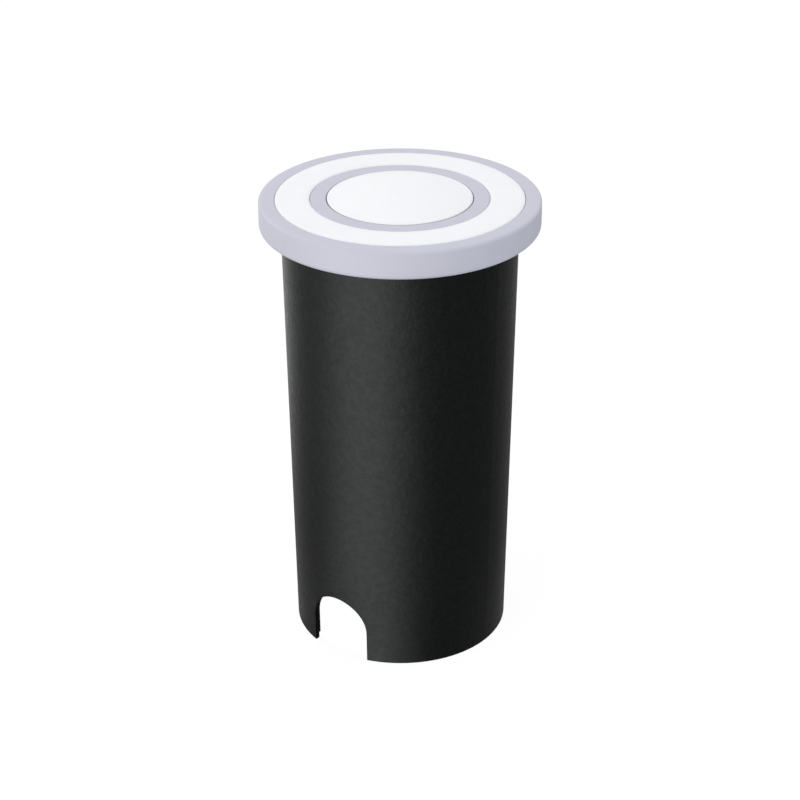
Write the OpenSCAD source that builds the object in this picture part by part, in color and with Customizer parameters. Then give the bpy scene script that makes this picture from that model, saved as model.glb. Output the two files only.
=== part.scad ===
// Round recessed floor light standing in its installation sleeve.
// Millimetres. The origin is the centre of the sleeve's bottom edge, +Z is up,
// and the cable notch in the sleeve faces -Y.
// The lamp hangs in the sleeve from its trim, so its heights are counted down from there.

/* [Sleeve] */
// Height of the sleeve, from its bottom edge to the trim's underside
sleeve_h = 95.8; // [92:0.1:130]
// Outside diameter of the sleeve at its top edge
sleeve_top_d = 50.8; // [48:0.1:56]
// Draft of the sleeve's wall, in degrees
sleeve_draft = 0.93; // [0.4:0.01:1]
// Wall thickness of the sleeve
sleeve_wall = 1.6; // [1.3:0.05:1.9]
// Width of the cable notch
notch_w = 14.5; // [8:0.5:18]
// Height of the cable notch, up to the top of its arch
notch_h = 14.3; // [10:0.1:20]
// Height of the rebate inside the bottom edge
rebate_h = 1.4; // [0.8:0.1:3]
// Depth of the rebate inside the bottom edge
rebate_depth = 0.45; // [0.2:0.05:0.8]

/* [Trim] */
// How far the trim stands out past the sleeve
trim_overhang = 4.6; // [4:0.1:5.5]
// Height of the trim above the sleeve
trim_h = 6.2; // [5.6:0.1:8]
// Width of the trim's border around the ring lens
rim_w = 3.4; // [2.4:0.1:4]
// Rounding of the trim's top edge
trim_top_fillet = 0.9; // [0.3:0.1:1.5]
// Rounding of the trim's bottom edge
trim_bottom_fillet = 1.25; // [0.3:0.05:1.6]
// Depth of the seat under the trim, into which the sleeve's top edge goes
trim_seat_depth = 0.3; // [0.2:0.05:0.6]
// Length of the threaded spigot under the trim
spigot_l = 6; // [4:0.5:7]
// Wall thickness of the threaded spigot
spigot_wall = 1.1; // [0.9:0.1:1.5]

/* [Lenses] */
// Thickness of both opal lenses
lens_t = 3; // [2:0.1:3.4]
// How far the lenses stand above the trim
lens_proud = 0.2; // [0:0.05:0.6]
// Width of the dark joint round each lens
lens_gap = 0.2; // [0.1:0.05:0.4]
// Rounding of the lenses' top edges
lens_fillet = 0.3; // [0.2:0.1:1]
// Width of the ring lens
ring_lens_w = 7.15; // [6.5:0.05:7.5]
// Width of the metal band between the two lenses
band_w = 3.4; // [3:0.1:3.8]
// Rise of the centre lens above its own edge
crown_h = 1.4; // [0.2:0.1:2]
// Thickness of the bonded seals under the lenses
lens_seal_t = 0.6; // [0.3:0.1:1]

/* [Light engine] */
// Height of the light chamber, from the board to the lenses
chamber_h = 7.6; // [7:0.1:8.4]
// Thickness of the light board
led_board_t = 1.6; // [1:0.1:2]
// Thickness of the heat pad under the light board
pad_t = 0.5; // [0.3:0.1:1]
// Number of light packages under the ring lens
ring_led_count = 12; // [6:1:18]
// Side of the light chip under the centre lens
chip_side = 12; // [11:0.5:14]
// Thickness of the reflectors and of the light divider's flange
reflector_t = 0.8; // [0.6:0.1:1]

/* [Housing] */
// Wall thickness of the threaded head
head_wall = 1.2; // [1:0.1:1.5]
// Thickness of the deck that carries the light board
deck_t = 3.5; // [2.5:0.1:5]
// Height of the upper collar
collar_h = 7; // [6:0.5:9]
// Length of the cooling fins
fin_l = 32; // [26:1:34]
// Number of cooling fins
fin_count = 24; // [12:1:30]
// Thickness of a cooling fin
fin_t = 1.2; // [0.8:0.1:1.8]
// Depth of the cooling fins
fin_depth = 3; // [2:0.1:3.4]
// Wall thickness of the barrel inside the fins
barrel_wall = 1.8; // [1.4:0.1:2]
// Height of the lower collar
lower_collar_h = 10; // [9:0.5:12]
// Gap between the lamp and the sleeve, which the grip rings close
barrel_gap = 1.4; // [1:0.1:1.6]
// Width of a rubber grip ring
grip_w = 2.6; // [2:0.1:3]
// Depth of a grip ring's groove
grip_groove = 1.6; // [1:0.1:1.8]

/* [Driver] */
// Wall thickness of the insulating liner
liner_wall = 1.2; // [0.8:0.1:1.4]
// Length of the driver board
driver_l = 35; // [32:0.5:38]
// Thickness of the driver board
driver_t = 1.6; // [1:0.1:2]
// Space behind the driver board, where its leads run
driver_back_gap = 5.9; // [5:0.1:7]

/* [Rear cap and cable gland] */
// Thickness of the rear cap
cap_t = 4; // [3.4:0.1:5]
// Height of the cap's spigot inside the barrel
cap_spigot_h = 4.5; // [4:0.1:6]
// Number of rear cap screws
cap_screw_count = 4; // [3:1:6]
// Diameter of the gland's entry thread
gland_entry_d = 12; // [11:0.5:13]
// Diameter of the gland's clamping thread
gland_neck_d = 14; // [13.5:0.5:15]
// Length of the gland's clamping thread
gland_neck_l = 8; // [7.4:0.2:9]
// Hexagon across the flats of the gland and its nut
gland_hex = 17; // [16.5:0.5:18]
// Largest cable that the gland takes
cable_d = 7; // [5:0.5:7.5]

/* [Hidden] */

// Smoothness of the round faces, and points along each rounded corner
$fn = 96;
arc_steps = 6;
cut = 1;

// Clearances
thread_fit = 0.05;
slide_gap = 0.3;
grip_gap = 0.15;
board_gap = 0.15;
part_gap = 0.1;
edge_break = 0.25;

// Heights of the front, counted up from the sleeve's top edge
underside_z = sleeve_h;
seat_z = underside_z + trim_seat_depth;
face_z = underside_z + trim_h;
lens_top_z = face_z + lens_proud;
lens_low_z = lens_top_z - lens_t;
ledge_z = lens_low_z - lens_seal_t;
board_top_z = lens_low_z - chamber_h;
board_low_z = board_top_z - led_board_t;
deck_z = board_low_z - pad_t;
deck_low_z = deck_z - deck_t;

// Heights of the housing, counted down from the trim
gasket_t = 0.8;
spigot_end_z = underside_z - spigot_l;
shoulder_z = spigot_end_z - gasket_t;
collar_low_z = shoulder_z - collar_h;
fin_low_z = collar_low_z - fin_l;
base_z = fin_low_z - lower_collar_h;
cap_low_z = base_z - cap_t;
cap_spigot_z = base_z + cap_spigot_h;

// Radii of the face, from the trim's border inwards
trim_r = sleeve_top_d / 2 + trim_overhang;
seat_r = sleeve_top_d / 2 + part_gap;
pocket_r = trim_r - rim_w;
ring_lens_r = pocket_r - lens_gap;
ring_lens_in_r = ring_lens_r - ring_lens_w;
band_r = ring_lens_in_r - lens_gap;
band_in_r = band_r - band_w;
disc_r = band_in_r - lens_gap;

// Radii of the trim's spigot and of the light chamber
spigot_r = sleeve_in_r(spigot_end_z) - slide_gap;
thread_bore_r = spigot_r - spigot_wall;
head_r = thread_bore_r - thread_fit;
head_bore_r = head_r - head_wall;
led_board_r = head_bore_r - board_gap;
outer_ledge_w = 2.5;
window_r = pocket_r - outer_ledge_w;
window_low_z = ledge_z - (window_r - thread_bore_r);
ring_wall_r = head_bore_r - part_gap;
flare = window_r - ring_wall_r - part_gap;
flare_z = ledge_z - flare;
head_top_z = flare_z - part_gap;

// Radii of the barrel
barrel_r = sleeve_in_r(cap_low_z) - barrel_gap;
core_r = barrel_r - fin_depth;
bore_r = core_r - barrel_wall;
collar_r = sleeve_in_r(collar_low_z) - slide_gap - grip_gap;

// Light packages of the ring
led_w = 2.8;
led_l = 3.5;
led_h = 0.7;
led_eye_r = 1.1;
led_eye_depth = 0.12;
led_ring_r = ring_wall_r - reflector_t - slide_gap - led_w / 2;

// Light chip of the centre
chip_base_h = 1;
chip_margin = 0.4;
chip_eye_r = chip_side / 2 - chip_margin;
chip_eye_h = 0.4;
chip_top_z = board_top_z + chip_base_h;

// Screws: head radius, head height, thread radius
divider_head_r = 1.9;
divider_head_h = 1.5;
divider_thread_r = 1;
cap_head_r = 2;
cap_head_h = 1.6;
cap_thread_r = 1.1;
terminal_screw_r = 1.5;
screw_hole_gap = 0.1;
socket_width_share = 0.45;
socket_depth_share = 0.55;
slot_w = 0.5;
slot_depth = 0.35;

// Light divider, which carries the band and holds the board down
divider_wall = 1.2;
divider_r = led_ring_r - led_w / 2 - screw_hole_gap * 2;
divider_in_r = divider_r - divider_wall;
divider_screw_r = bore_r - divider_head_r - board_gap;
divider_screw_count = 3;
divider_screw_start = 90;
post_r = 1.9;
post_h = 3.2;
band_ledge_t = 1.2;
band_ledge_w = 1;
band_low_z = ledge_z - band_ledge_t;
divider_flange_t = 1.2;
divider_flange_z = band_low_z - divider_flange_t;
divider_rim_r = (band_r + band_in_r) / 2 + divider_wall / 2;
divider_rim_h = 1;
divider_rim_top_z = ledge_z + divider_rim_h;
band_edge_break = 0.2;

// Centre reflector
reflector_low_r = chip_eye_r + part_gap + slide_gap;
reflector_top_r = band_in_r - band_ledge_w - slide_gap - reflector_t;
reflector_top_z = lens_low_z - slide_gap;
reflector_steps = 8;

// Grip rings
collar_groove_z = shoulder_z - collar_h / 2 - grip_w / 2;
grip_land = 1.2;
lower_groove_z = fin_low_z - grip_w - grip_land;
rib_count = 2;
rib_w = 0.9;

// Screw holes in the lower collar, inside the cap's chamfer
cap_chamfer = 0.8;
screw_edge = 0.15;
cap_screw_r = barrel_r - cap_chamfer - cap_head_r - screw_edge;
cap_screw_bite = 5;
cap_hole_spare = 0.6;
cap_hole_depth = cap_screw_bite + cap_hole_spare;
cap_screw_start = 45;

// Rear cap
cap_boss_r = 9;
cap_ring_wall = 2.8;
cap_spigot_r = bore_r - part_gap;
cap_groove_depth = 1.3;
cap_groove_w = 1.7;
cap_groove_z = base_z + (cap_spigot_h - cap_groove_w) / 2;
cap_rib_w = 1.5;
cap_rib_count = 4;
cap_ring_cord_r = 0.65;

// Insulating liner
liner_r = bore_r - 2 * part_gap;
liner_in_r = liner_r - liner_wall;
liner_top_gap = 0.4;
liner_top_z = deck_low_z - divider_head_h - liner_top_gap;
rail_w = 1.3;
rail_l = 3;

// Driver board, its parts and its leads
driver_back_y = driver_back_gap - liner_in_r;
driver_face_y = driver_back_y + driver_t;
driver_w = 2 * (sqrt(pow(liner_in_r, 2) - pow(driver_back_y, 2)) - 2 * part_gap);
terminal_w = 10.4;
terminal_h = 8.6;
terminal_depth = 8;
terminal_pitch = 5;
board_end_gap = 1;
terminal_z = cap_spigot_z + board_end_gap;
terminal_hole_r = 1.5;
terminal_hole_depth = 5;
terminal_screw_l = 1.6;
component_gap = 0.6;
capacitor_l = 11;
capacitor_r = 4;
capacitor_top_break = 0.6;
capacitor_x = capacitor_r + component_gap;
capacitor_z = terminal_z + terminal_h + component_gap + capacitor_r;
core_side = 13;
core_depth = 6;
core_leg = 2.8;
core_middle_leg = 3.2;
core_standoff = 3;
core_z = capacitor_z + capacitor_r + component_gap;
coil_margin = 0.15;
chip_w = 2;
chip_t = 1.4;
chip_l = 4;
chip_gap = 0.25;
chip_places = [
  [-core_side / 2 - chip_gap - chip_w, core_z],
  [core_side / 2 + chip_gap, core_z + core_side - chip_l],
  [-terminal_w / 2 - chip_gap - chip_w, terminal_z + terminal_h - chip_l]
];
lead_r = 0.6;
lead_x = 2;
lead_y = driver_back_y - lead_r - part_gap / 2;
lead_overlap = 7;
lead_low_z = cap_spigot_z + driver_l - lead_overlap;
joint_r = 1.1;
joint_h = 0.7;

// Cable gland
flange_seal_t = 1;
flange_seal_w = 1.9;
gland_flange_h = 4;
gland_top_z = cap_low_z - flange_seal_t;
gland_flange_z = gland_top_z - gland_flange_h;
gland_neck_z = gland_flange_z - gland_neck_l;
gland_entry_r = gland_entry_d / 2;
gland_neck_r = gland_neck_d / 2;
cable_r = cable_d / 2;
gland_bore_r = cable_r + 0.2;
chamber_wall = 1.5;
gland_chamber_r = gland_neck_r - chamber_wall;
gland_chamber_l = 6;
gland_seal_l = 5;
thrust_ring_t = 1.6;
thrust_top_z = gland_neck_z + gland_chamber_l - gland_seal_l;
thrust_low_z = thrust_top_z - thrust_ring_t;
nut_floor = 2;
nut_gap = 0.4;
nut_top_z = gland_flange_z - nut_gap;
nut_low_z = thrust_low_z - nut_floor;
nut_dome = 2.2;
hex_corner_r = gland_hex / 2 / cos(30);
hex_break = 0.8;

// Radii of the sleeve's drafted wall at a height
function sleeve_out_r(z) = sleeve_top_d / 2 - (sleeve_h - z) * tan(sleeve_draft);
function sleeve_in_r(z) = sleeve_out_r(z) - sleeve_wall;

// Outline with rounded corners, from a list of corners [radius, height, fillet]
function unit(v) = v / norm(v);
function direction(v) = atan2(v[1], v[0]);
function short_turn(a, b) = (b - a + 540) % 360 - 180;
function xy(p) = [p[0], p[1]];
function corner_arc(before, corner, after, fillet) =
  let (
    u = unit(before - corner),
    v = unit(after - corner),
    half = acos(u * v) / 2,
    reach = fillet / tan(half),
    centre = corner + unit(u + v) * fillet / sin(half),
    start = direction(corner + u * reach - centre),
    sweep = short_turn(start, direction(corner + v * reach - centre))
  )
  [for (s = [0 : arc_steps])
    centre + fillet * [cos(start + sweep * s / arc_steps), sin(start + sweep * s / arc_steps)]];
function rounded(corners) =
  let (count = len(corners))
  [for (i = [0 : count - 1])
    let (
      before = xy(corners[(i + count - 1) % count]),
      corner = xy(corners[i]),
      after = xy(corners[(i + 1) % count]),
      fillet = len(corners[i]) > 2 ? corners[i][2] : 0
    )
    each (fillet > 0 ? corner_arc(before, corner, after, fillet) : [corner])];

// Body of revolution from such a list
module revolve(corners) {
  rotate_extrude() polygon(rounded(corners));
}

// Flat ring with its lower face at a height
module flat_ring(inner_r, outer_r, low_z, thickness) {
  revolve([[inner_r, low_z], [outer_r, low_z], [outer_r, low_z + thickness], [inner_r, low_z + thickness]]);
}

// Copies round the lamp's axis
module around(count, start = 0) {
  for (i = [0 : count - 1])
    rotate(start + i * 360 / count)
      children();
}

// Socket screw standing on its head's top face, with its thread pointing up
module screw_up(head_r, head_h, thread_r, thread_l) {
  difference() {
    union() {
      cylinder(r = head_r, h = head_h);
      cylinder(r = thread_r, h = head_h + thread_l);
    }
    translate([0, 0, -cut])
      cylinder(r = head_r * socket_width_share, h = cut + head_h * socket_depth_share, $fn = 6);
  }
}

// Hexagonal prism with its corners eased at both ends
module eased_hex(low_z, height) {
  intersection() {
    translate([0, 0, low_z])
      cylinder(r = hex_corner_r, h = height, $fn = 6);
    revolve([
      [0, low_z], [hex_corner_r - hex_break, low_z], [hex_corner_r + hex_break, low_z + hex_break],
      [hex_corner_r + hex_break, low_z + height - hex_break], [hex_corner_r - hex_break, low_z + height],
      [0, low_z + height]
    ]);
  }
}

// Arched notch, cut through the -Y wall with parallel sides
module cable_notch() {
  arch_r = notch_w / 2;
  rotate([90, 0, 0])
    linear_extrude(height = sleeve_top_d) {
      translate([-arch_r, -cut])
        square([notch_w, notch_h - arch_r + cut]);
      translate([0, notch_h - arch_r])
        circle(r = arch_r);
    }
}

// Moulded sleeve with draft, open at both ends
module mounting_sleeve() {
  color("#25292a")
    difference() {
      revolve([
        [sleeve_in_r(0) + rebate_depth, 0],
        [sleeve_out_r(0), 0, edge_break],
        [sleeve_out_r(seat_z), seat_z, edge_break],
        [sleeve_in_r(seat_z), seat_z],
        [sleeve_in_r(rebate_h), rebate_h],
        [sleeve_in_r(0) + rebate_depth, rebate_h]
      ]);
      cable_notch();
    }
}

// Trim with the ring lens's pocket above, the sleeve's seat and the threaded spigot below
module trim_ring() {
  color("#cecedb")
    revolve([
      [thread_bore_r, spigot_end_z],
      [spigot_r, spigot_end_z, edge_break],
      [spigot_r, seat_z],
      [seat_r, seat_z],
      [seat_r, underside_z],
      [trim_r, underside_z, trim_bottom_fillet],
      [trim_r, face_z, trim_top_fillet],
      [pocket_r, face_z, edge_break],
      [pocket_r, ledge_z],
      [window_r, ledge_z],
      [thread_bore_r, window_low_z]
    ]);
}

module ring_diffuser() {
  color("#f5f7f9")
    revolve([
      [ring_lens_in_r, lens_low_z], [ring_lens_r, lens_low_z],
      [ring_lens_r, lens_top_z, lens_fillet], [ring_lens_in_r, lens_top_z, lens_fillet]
    ]);
}

// Band between the lenses, with a ledge for each and a groove for the divider's rim
module inner_band() {
  color("#cecedb")
    revolve([
      [band_in_r - band_ledge_w, band_low_z],
      [divider_rim_r - divider_wall - thread_fit, band_low_z],
      [divider_rim_r - divider_wall - thread_fit, divider_rim_top_z + part_gap],
      [divider_rim_r + thread_fit, divider_rim_top_z + part_gap],
      [divider_rim_r + thread_fit, band_low_z],
      [band_r + band_ledge_w, band_low_z],
      [band_r + band_ledge_w, ledge_z],
      [band_r, ledge_z],
      [band_r, face_z, band_edge_break],
      [band_in_r, face_z, band_edge_break],
      [band_in_r, ledge_z],
      [band_in_r - band_ledge_w, ledge_z]
    ]);
}

// Centre lens with its low crown
module centre_diffuser() {
  crown_steps = 12;
  crown = [for (s = [1 : crown_steps])
    let (share = 1 - s / crown_steps)
    [disc_r * share, lens_top_z + crown_h * (1 - share * share)]];
  color("#f5f7f9")
    revolve(concat([[0, lens_low_z], [disc_r, lens_low_z], [disc_r, lens_top_z, lens_fillet]], crown));
}

module ring_outer_seal() {
  color("#e8e8e4")
    flat_ring(window_r, ring_lens_r, ledge_z, lens_seal_t);
}

module ring_inner_seal() {
  color("#e8e8e4")
    flat_ring(ring_lens_in_r, band_r + band_ledge_w, ledge_z, lens_seal_t);
}

module centre_seal() {
  color("#e8e8e4")
    flat_ring(band_in_r - band_ledge_w, disc_r, ledge_z, lens_seal_t);
}

// White wall of the ring's light chamber, flared to the lens
module ring_reflector() {
  color("white")
    revolve([
      [ring_wall_r - reflector_t, board_top_z],
      [ring_wall_r, board_top_z],
      [ring_wall_r, flare_z],
      [ring_wall_r + flare, ledge_z],
      [ring_wall_r + flare - reflector_t * sqrt(2), ledge_z],
      [ring_wall_r - reflector_t, flare_z + reflector_t * (sqrt(2) - 1)]
    ]);
}

// White wall between the two light chambers, with its screw posts and the rim under the band
module light_divider() {
  color("white")
    difference() {
      union() {
        revolve([
          [divider_in_r, board_top_z],
          [divider_r, board_top_z],
          [divider_r, divider_flange_z],
          [divider_rim_r + reflector_t, divider_flange_z],
          [divider_rim_r + reflector_t, band_low_z],
          [divider_rim_r, band_low_z],
          [divider_rim_r, divider_rim_top_z],
          [divider_rim_r - divider_wall, divider_rim_top_z],
          [divider_rim_r - divider_wall, band_low_z],
          [divider_in_r, band_low_z]
        ]);
        around(divider_screw_count, divider_screw_start)
          translate([divider_screw_r, 0, board_top_z])
            cylinder(r = post_r, h = post_h);
      }
      around(divider_screw_count, divider_screw_start)
        translate([divider_screw_r, 0, board_top_z - cut])
          cylinder(r = divider_thread_r + thread_fit, h = post_h - reflector_t + cut);
    }
}

// Parabolic reflector standing on the centre chip
module centre_reflector() {
  outer_low_r = reflector_low_r + reflector_t;
  outer = [for (s = [0 : reflector_steps])
    let (share = s / reflector_steps)
    [outer_low_r + (reflector_top_r - reflector_low_r) * share,
      chip_top_z + (reflector_top_z - chip_top_z) * share * share]];
  inner = [for (i = [reflector_steps : -1 : 0])
    [outer[i][0] - reflector_t, outer[i][1] + reflector_t * (1 - i / reflector_steps)]];
  color("#d8dadd")
    revolve(concat(outer, inner, [[reflector_low_r, chip_top_z]]));
}

// Holes that the divider's screws and the light leads pass through
module board_holes(low_z, thickness, lead_hole_r) {
  around(divider_screw_count, divider_screw_start)
    translate([divider_screw_r, 0, low_z - cut])
      cylinder(r = divider_thread_r + screw_hole_gap, h = thickness + 2 * cut);
  for (side = [-1, 1])
    translate([side * lead_x, lead_y, low_z - cut])
      cylinder(r = lead_hole_r, h = thickness + 2 * cut);
}

module led_board() {
  color("#f1f1ee")
    difference() {
      translate([0, 0, board_low_z])
        cylinder(r = led_board_r, h = led_board_t);
      board_holes(board_low_z, led_board_t, lead_r + part_gap);
    }
}

module ring_leds() {
  color("#f2dd7a")
    around(ring_led_count, 180 / ring_led_count)
      translate([led_ring_r, 0, board_top_z])
        difference() {
          translate([-led_w / 2, -led_l / 2, 0])
            cube([led_w, led_l, led_h]);
          translate([0, 0, led_h - led_eye_depth])
            cylinder(r = led_eye_r, h = led_eye_depth + cut);
        }
}

module centre_led() {
  color("#f2dd7a")
    union() {
      translate([-chip_side / 2, -chip_side / 2, board_top_z])
        cube([chip_side, chip_side, chip_base_h]);
      translate([0, 0, board_top_z])
        cylinder(r = chip_eye_r, h = chip_base_h + chip_eye_h);
    }
}

module thermal_pad() {
  color("#8f9bb0")
    difference() {
      translate([0, 0, deck_z])
        cylinder(r = led_board_r - board_gap, h = pad_t);
      board_holes(deck_z, pad_t, lead_r + 2 * part_gap);
    }
}

// Fins between the collars, drawn in plan
module fin_plan() {
  intersection() {
    circle(r = barrel_r);
    union() {
      circle(r = core_r);
      around(fin_count)
        translate([bore_r + barrel_wall / 2, -fin_t / 2])
          square([barrel_r, fin_t]);
    }
  }
}

// Turned outline of the housing: threaded head, deck, collars with grooves, barrel
module housing_outline() {
  revolve([
    [bore_r, base_z],
    [barrel_r, base_z, edge_break],
    [barrel_r, lower_groove_z],
    [barrel_r - grip_groove, lower_groove_z],
    [barrel_r - grip_groove, lower_groove_z + grip_w],
    [barrel_r, lower_groove_z + grip_w],
    [barrel_r, fin_low_z, edge_break],
    [core_r, fin_low_z],
    [core_r, collar_low_z],
    [collar_r, collar_low_z, edge_break],
    [collar_r, collar_groove_z],
    [collar_r - grip_groove, collar_groove_z],
    [collar_r - grip_groove, collar_groove_z + grip_w],
    [collar_r, collar_groove_z + grip_w],
    [collar_r, shoulder_z],
    [head_r, shoulder_z],
    [head_r, head_top_z, edge_break],
    [head_bore_r, head_top_z],
    [head_bore_r, deck_z],
    [0, deck_z],
    [0, deck_low_z],
    [bore_r, deck_low_z]
  ]);
}

module lamp_housing() {
  color("#9a9da1")
    difference() {
      union() {
        housing_outline();
        translate([0, 0, fin_low_z - edge_break])
          linear_extrude(height = fin_l + 2 * edge_break)
            difference() {
              fin_plan();
              circle(r = bore_r);
            }
      }
      board_holes(deck_low_z, deck_t, lead_r + 2 * part_gap);
      around(cap_screw_count, cap_screw_start)
        translate([cap_screw_r, 0, base_z - cut])
          cylinder(r = cap_thread_r + thread_fit, h = cap_hole_depth + cut);
    }
}

// Flat gasket between the housing's shoulder and the trim's spigot
module head_gasket() {
  color("#303030")
    flat_ring(head_r + thread_fit, min(spigot_r, collar_r) - edge_break, shoulder_z, gasket_t);
}

module divider_screws() {
  thread_l = board_top_z - deck_low_z + post_h - 2 * reflector_t;
  color("#b9bcc0")
    around(divider_screw_count, divider_screw_start)
      translate([divider_screw_r, 0, deck_low_z - divider_head_h])
        screw_up(divider_head_r, divider_head_h, divider_thread_r, thread_l);
}

// Rubber ring with round-topped ribs that grip the sleeve
module grip_ring(groove_r, body_r, low_z) {
  rib_r = sleeve_in_r(low_z) - grip_gap;
  pitch = grip_w / rib_count;
  ribs = [for (i = [0 : rib_count - 1])
    let (middle = low_z + (i + 0.5) * pitch)
    each [[body_r, middle - rib_w / 2], [rib_r, middle - rib_w / 4], [rib_r, middle + rib_w / 4],
      [body_r, middle + rib_w / 2]]];
  color("#1d1d1d")
    revolve(concat(
      [[groove_r + part_gap, low_z + part_gap], [body_r, low_z + part_gap]],
      ribs,
      [[body_r, low_z + grip_w - part_gap], [groove_r + part_gap, low_z + grip_w - part_gap]]
    ));
}

module upper_grip_ring() {
  grip_ring(collar_r - grip_groove, collar_r - part_gap, collar_groove_z);
}

module lower_grip_ring() {
  grip_ring(barrel_r - grip_groove, barrel_r - part_gap, lower_groove_z);
}

// Insulating liner, closed above, with a rail on each side for the driver board
module driver_liner() {
  inner_h = liner_top_z - cap_spigot_z - liner_wall;
  rail_h = driver_l;
  color("#ececea")
    difference() {
      union() {
        difference() {
          translate([0, 0, cap_spigot_z])
            cylinder(r = liner_r, h = inner_h + liner_wall);
          translate([0, 0, cap_spigot_z - cut])
            cylinder(r = liner_in_r, h = inner_h + cut);
        }
        intersection() {
          translate([0, 0, cap_spigot_z])
            cylinder(r = liner_r - liner_wall / 2, h = rail_h);
          for (side = [-1, 1])
            translate([side * driver_w / 2 - rail_l / 2, driver_back_y - rail_w, cap_spigot_z])
              cube([rail_l, driver_t + 2 * rail_w, rail_h]);
        }
      }
      translate([-driver_w / 2 - part_gap, driver_back_y - part_gap, cap_spigot_z - cut])
        cube([driver_w + 2 * part_gap, driver_t + 2 * part_gap, rail_h + cut]);
      for (side = [-1, 1])
        translate([side * lead_x, lead_y, liner_top_z - liner_wall - cut])
          cylinder(r = lead_r + 2 * part_gap, h = liner_wall + 2 * cut);
    }
}

module driver_board() {
  color("#2f6b46")
    translate([-driver_w / 2, driver_back_y, cap_spigot_z])
      cube([driver_w, driver_t, driver_l]);
}

// Ferrite core with its two windows, closed round the coil
module transformer_core() {
  window_w = (core_side - core_middle_leg) / 2 - core_leg;
  color("#3a3b3f")
    translate([-core_side / 2, driver_face_y + core_standoff, core_z])
      difference() {
        cube([core_side, core_depth, core_side]);
        for (x = [core_leg, core_side - core_leg - window_w])
          translate([x, -cut, core_leg])
            cube([window_w, core_depth + 2 * cut, core_side - 2 * core_leg]);
      }
}

// Wound bobbin on the core's middle leg, standing on the driver board
module transformer_coil() {
  coil_side = core_side - 2 * (core_leg + coil_margin);
  leg_hole_w = core_middle_leg + 2 * coil_margin;
  color("#d9b64a")
    translate([0, driver_face_y, core_z + core_leg + coil_margin])
      difference() {
        translate([-coil_side / 2, 0, 0])
          cube([coil_side, core_depth + 2 * core_standoff, coil_side]);
        translate([-leg_hole_w / 2, core_standoff - coil_margin, -cut])
          cube([leg_hole_w, core_depth + 2 * coil_margin, coil_side + 2 * cut]);
      }
}

// Two round capacitors standing side by side on the driver board
module smoothing_capacitors() {
  color("#20242c")
    for (side = [-1, 1])
      translate([side * capacitor_x, driver_face_y, capacitor_z])
        rotate([-90, 0, 0])
          revolve([
            [0, 0], [capacitor_r, 0], [capacitor_r, capacitor_l, capacitor_top_break], [0, capacitor_l]
          ]);
}

module driver_chips() {
  color("#1b1b1d")
    for (place = chip_places)
      translate([place[0], driver_face_y, place[1]])
        cube([chip_w, chip_t, chip_l]);
}

// Supply terminals at the board's lower end, with wire entries below and screws in front
module terminal_block() {
  color("#3f8f5a")
    difference() {
      translate([-terminal_w / 2, driver_face_y, terminal_z])
        cube([terminal_w, terminal_depth, terminal_h]);
      for (side = [-1, 1]) {
        translate([side * terminal_pitch / 2, driver_face_y + terminal_depth / 2, terminal_z - cut])
          cylinder(r = terminal_hole_r, h = terminal_hole_depth + cut);
        translate([side * terminal_pitch / 2, driver_face_y + terminal_depth, terminal_z + terminal_h / 2])
          rotate([90, 0, 0])
            translate([0, 0, -cut])
              cylinder(r = terminal_screw_r + part_gap, h = terminal_screw_l + cut);
      }
    }
}

module terminal_screws() {
  color("#b9bcc0")
    for (side = [-1, 1])
      translate([
        side * terminal_pitch / 2, driver_face_y + terminal_depth - part_gap, terminal_z + terminal_h / 2
      ])
        rotate([90, 0, 0])
          difference() {
            cylinder(r = terminal_screw_r, h = terminal_screw_l - part_gap);
            translate([-terminal_screw_r - cut, -slot_w / 2, -cut])
              cube([2 * (terminal_screw_r + cut), slot_w, cut + slot_depth]);
          }
}

// Two insulated leads from the driver board's back up to the light board
module led_leads() {
  color("#c23a2e")
    for (side = [-1, 1])
      translate([side * lead_x, lead_y, 0]) {
        translate([0, 0, lead_low_z])
          cylinder(r = lead_r, h = board_top_z - lead_low_z + joint_h);
        translate([0, 0, board_top_z])
          cylinder(r1 = joint_r, r2 = lead_r, h = joint_h);
      }
}

// Rear cap with its sealing spigot, the gland's boss and the ribs between them
module rear_cap() {
  ring_in_r = cap_spigot_r - cap_ring_wall;
  color("#9a9da1")
    difference() {
      union() {
        revolve([
          [0, cap_low_z],
          [barrel_r - cap_chamfer, cap_low_z],
          [barrel_r, cap_low_z + cap_chamfer],
          [barrel_r, base_z],
          [cap_spigot_r, base_z],
          [cap_spigot_r, cap_groove_z],
          [cap_spigot_r - cap_groove_depth, cap_groove_z],
          [cap_spigot_r - cap_groove_depth, cap_groove_z + cap_groove_w],
          [cap_spigot_r, cap_groove_z + cap_groove_w],
          [cap_spigot_r, cap_spigot_z, edge_break],
          [ring_in_r, cap_spigot_z],
          [ring_in_r, base_z],
          [0, base_z]
        ]);
        translate([0, 0, base_z - cut])
          cylinder(r = cap_boss_r, h = cap_spigot_h + cut);
        around(cap_rib_count)
          translate([cap_boss_r - cut, -cap_rib_w / 2, base_z - cut])
            cube([ring_in_r - cap_boss_r + 1.5 * cut, cap_rib_w, cap_spigot_h - slide_gap + cut]);
      }
      translate([0, 0, cap_low_z - cut])
        cylinder(r = gland_entry_r, h = cap_t + cap_spigot_h + 2 * cut);
      around(cap_screw_count, cap_screw_start)
        translate([cap_screw_r, 0, cap_low_z - cut]) {
          cylinder(r = cap_thread_r + screw_hole_gap, h = cap_t + 2 * cut);
          cylinder(r = cap_head_r + screw_hole_gap, h = cap_head_h + screw_hole_gap + cut);
        }
    }
}

// Round rubber cord in the cap's groove
module rear_cap_seal() {
  groove_r = cap_spigot_r - cap_groove_depth;
  color("#1d1d1d")
    rotate_extrude()
      translate([groove_r + thread_fit + cap_ring_cord_r, cap_groove_z + cap_groove_w / 2])
        circle(r = cap_ring_cord_r, $fn = 32);
}

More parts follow.
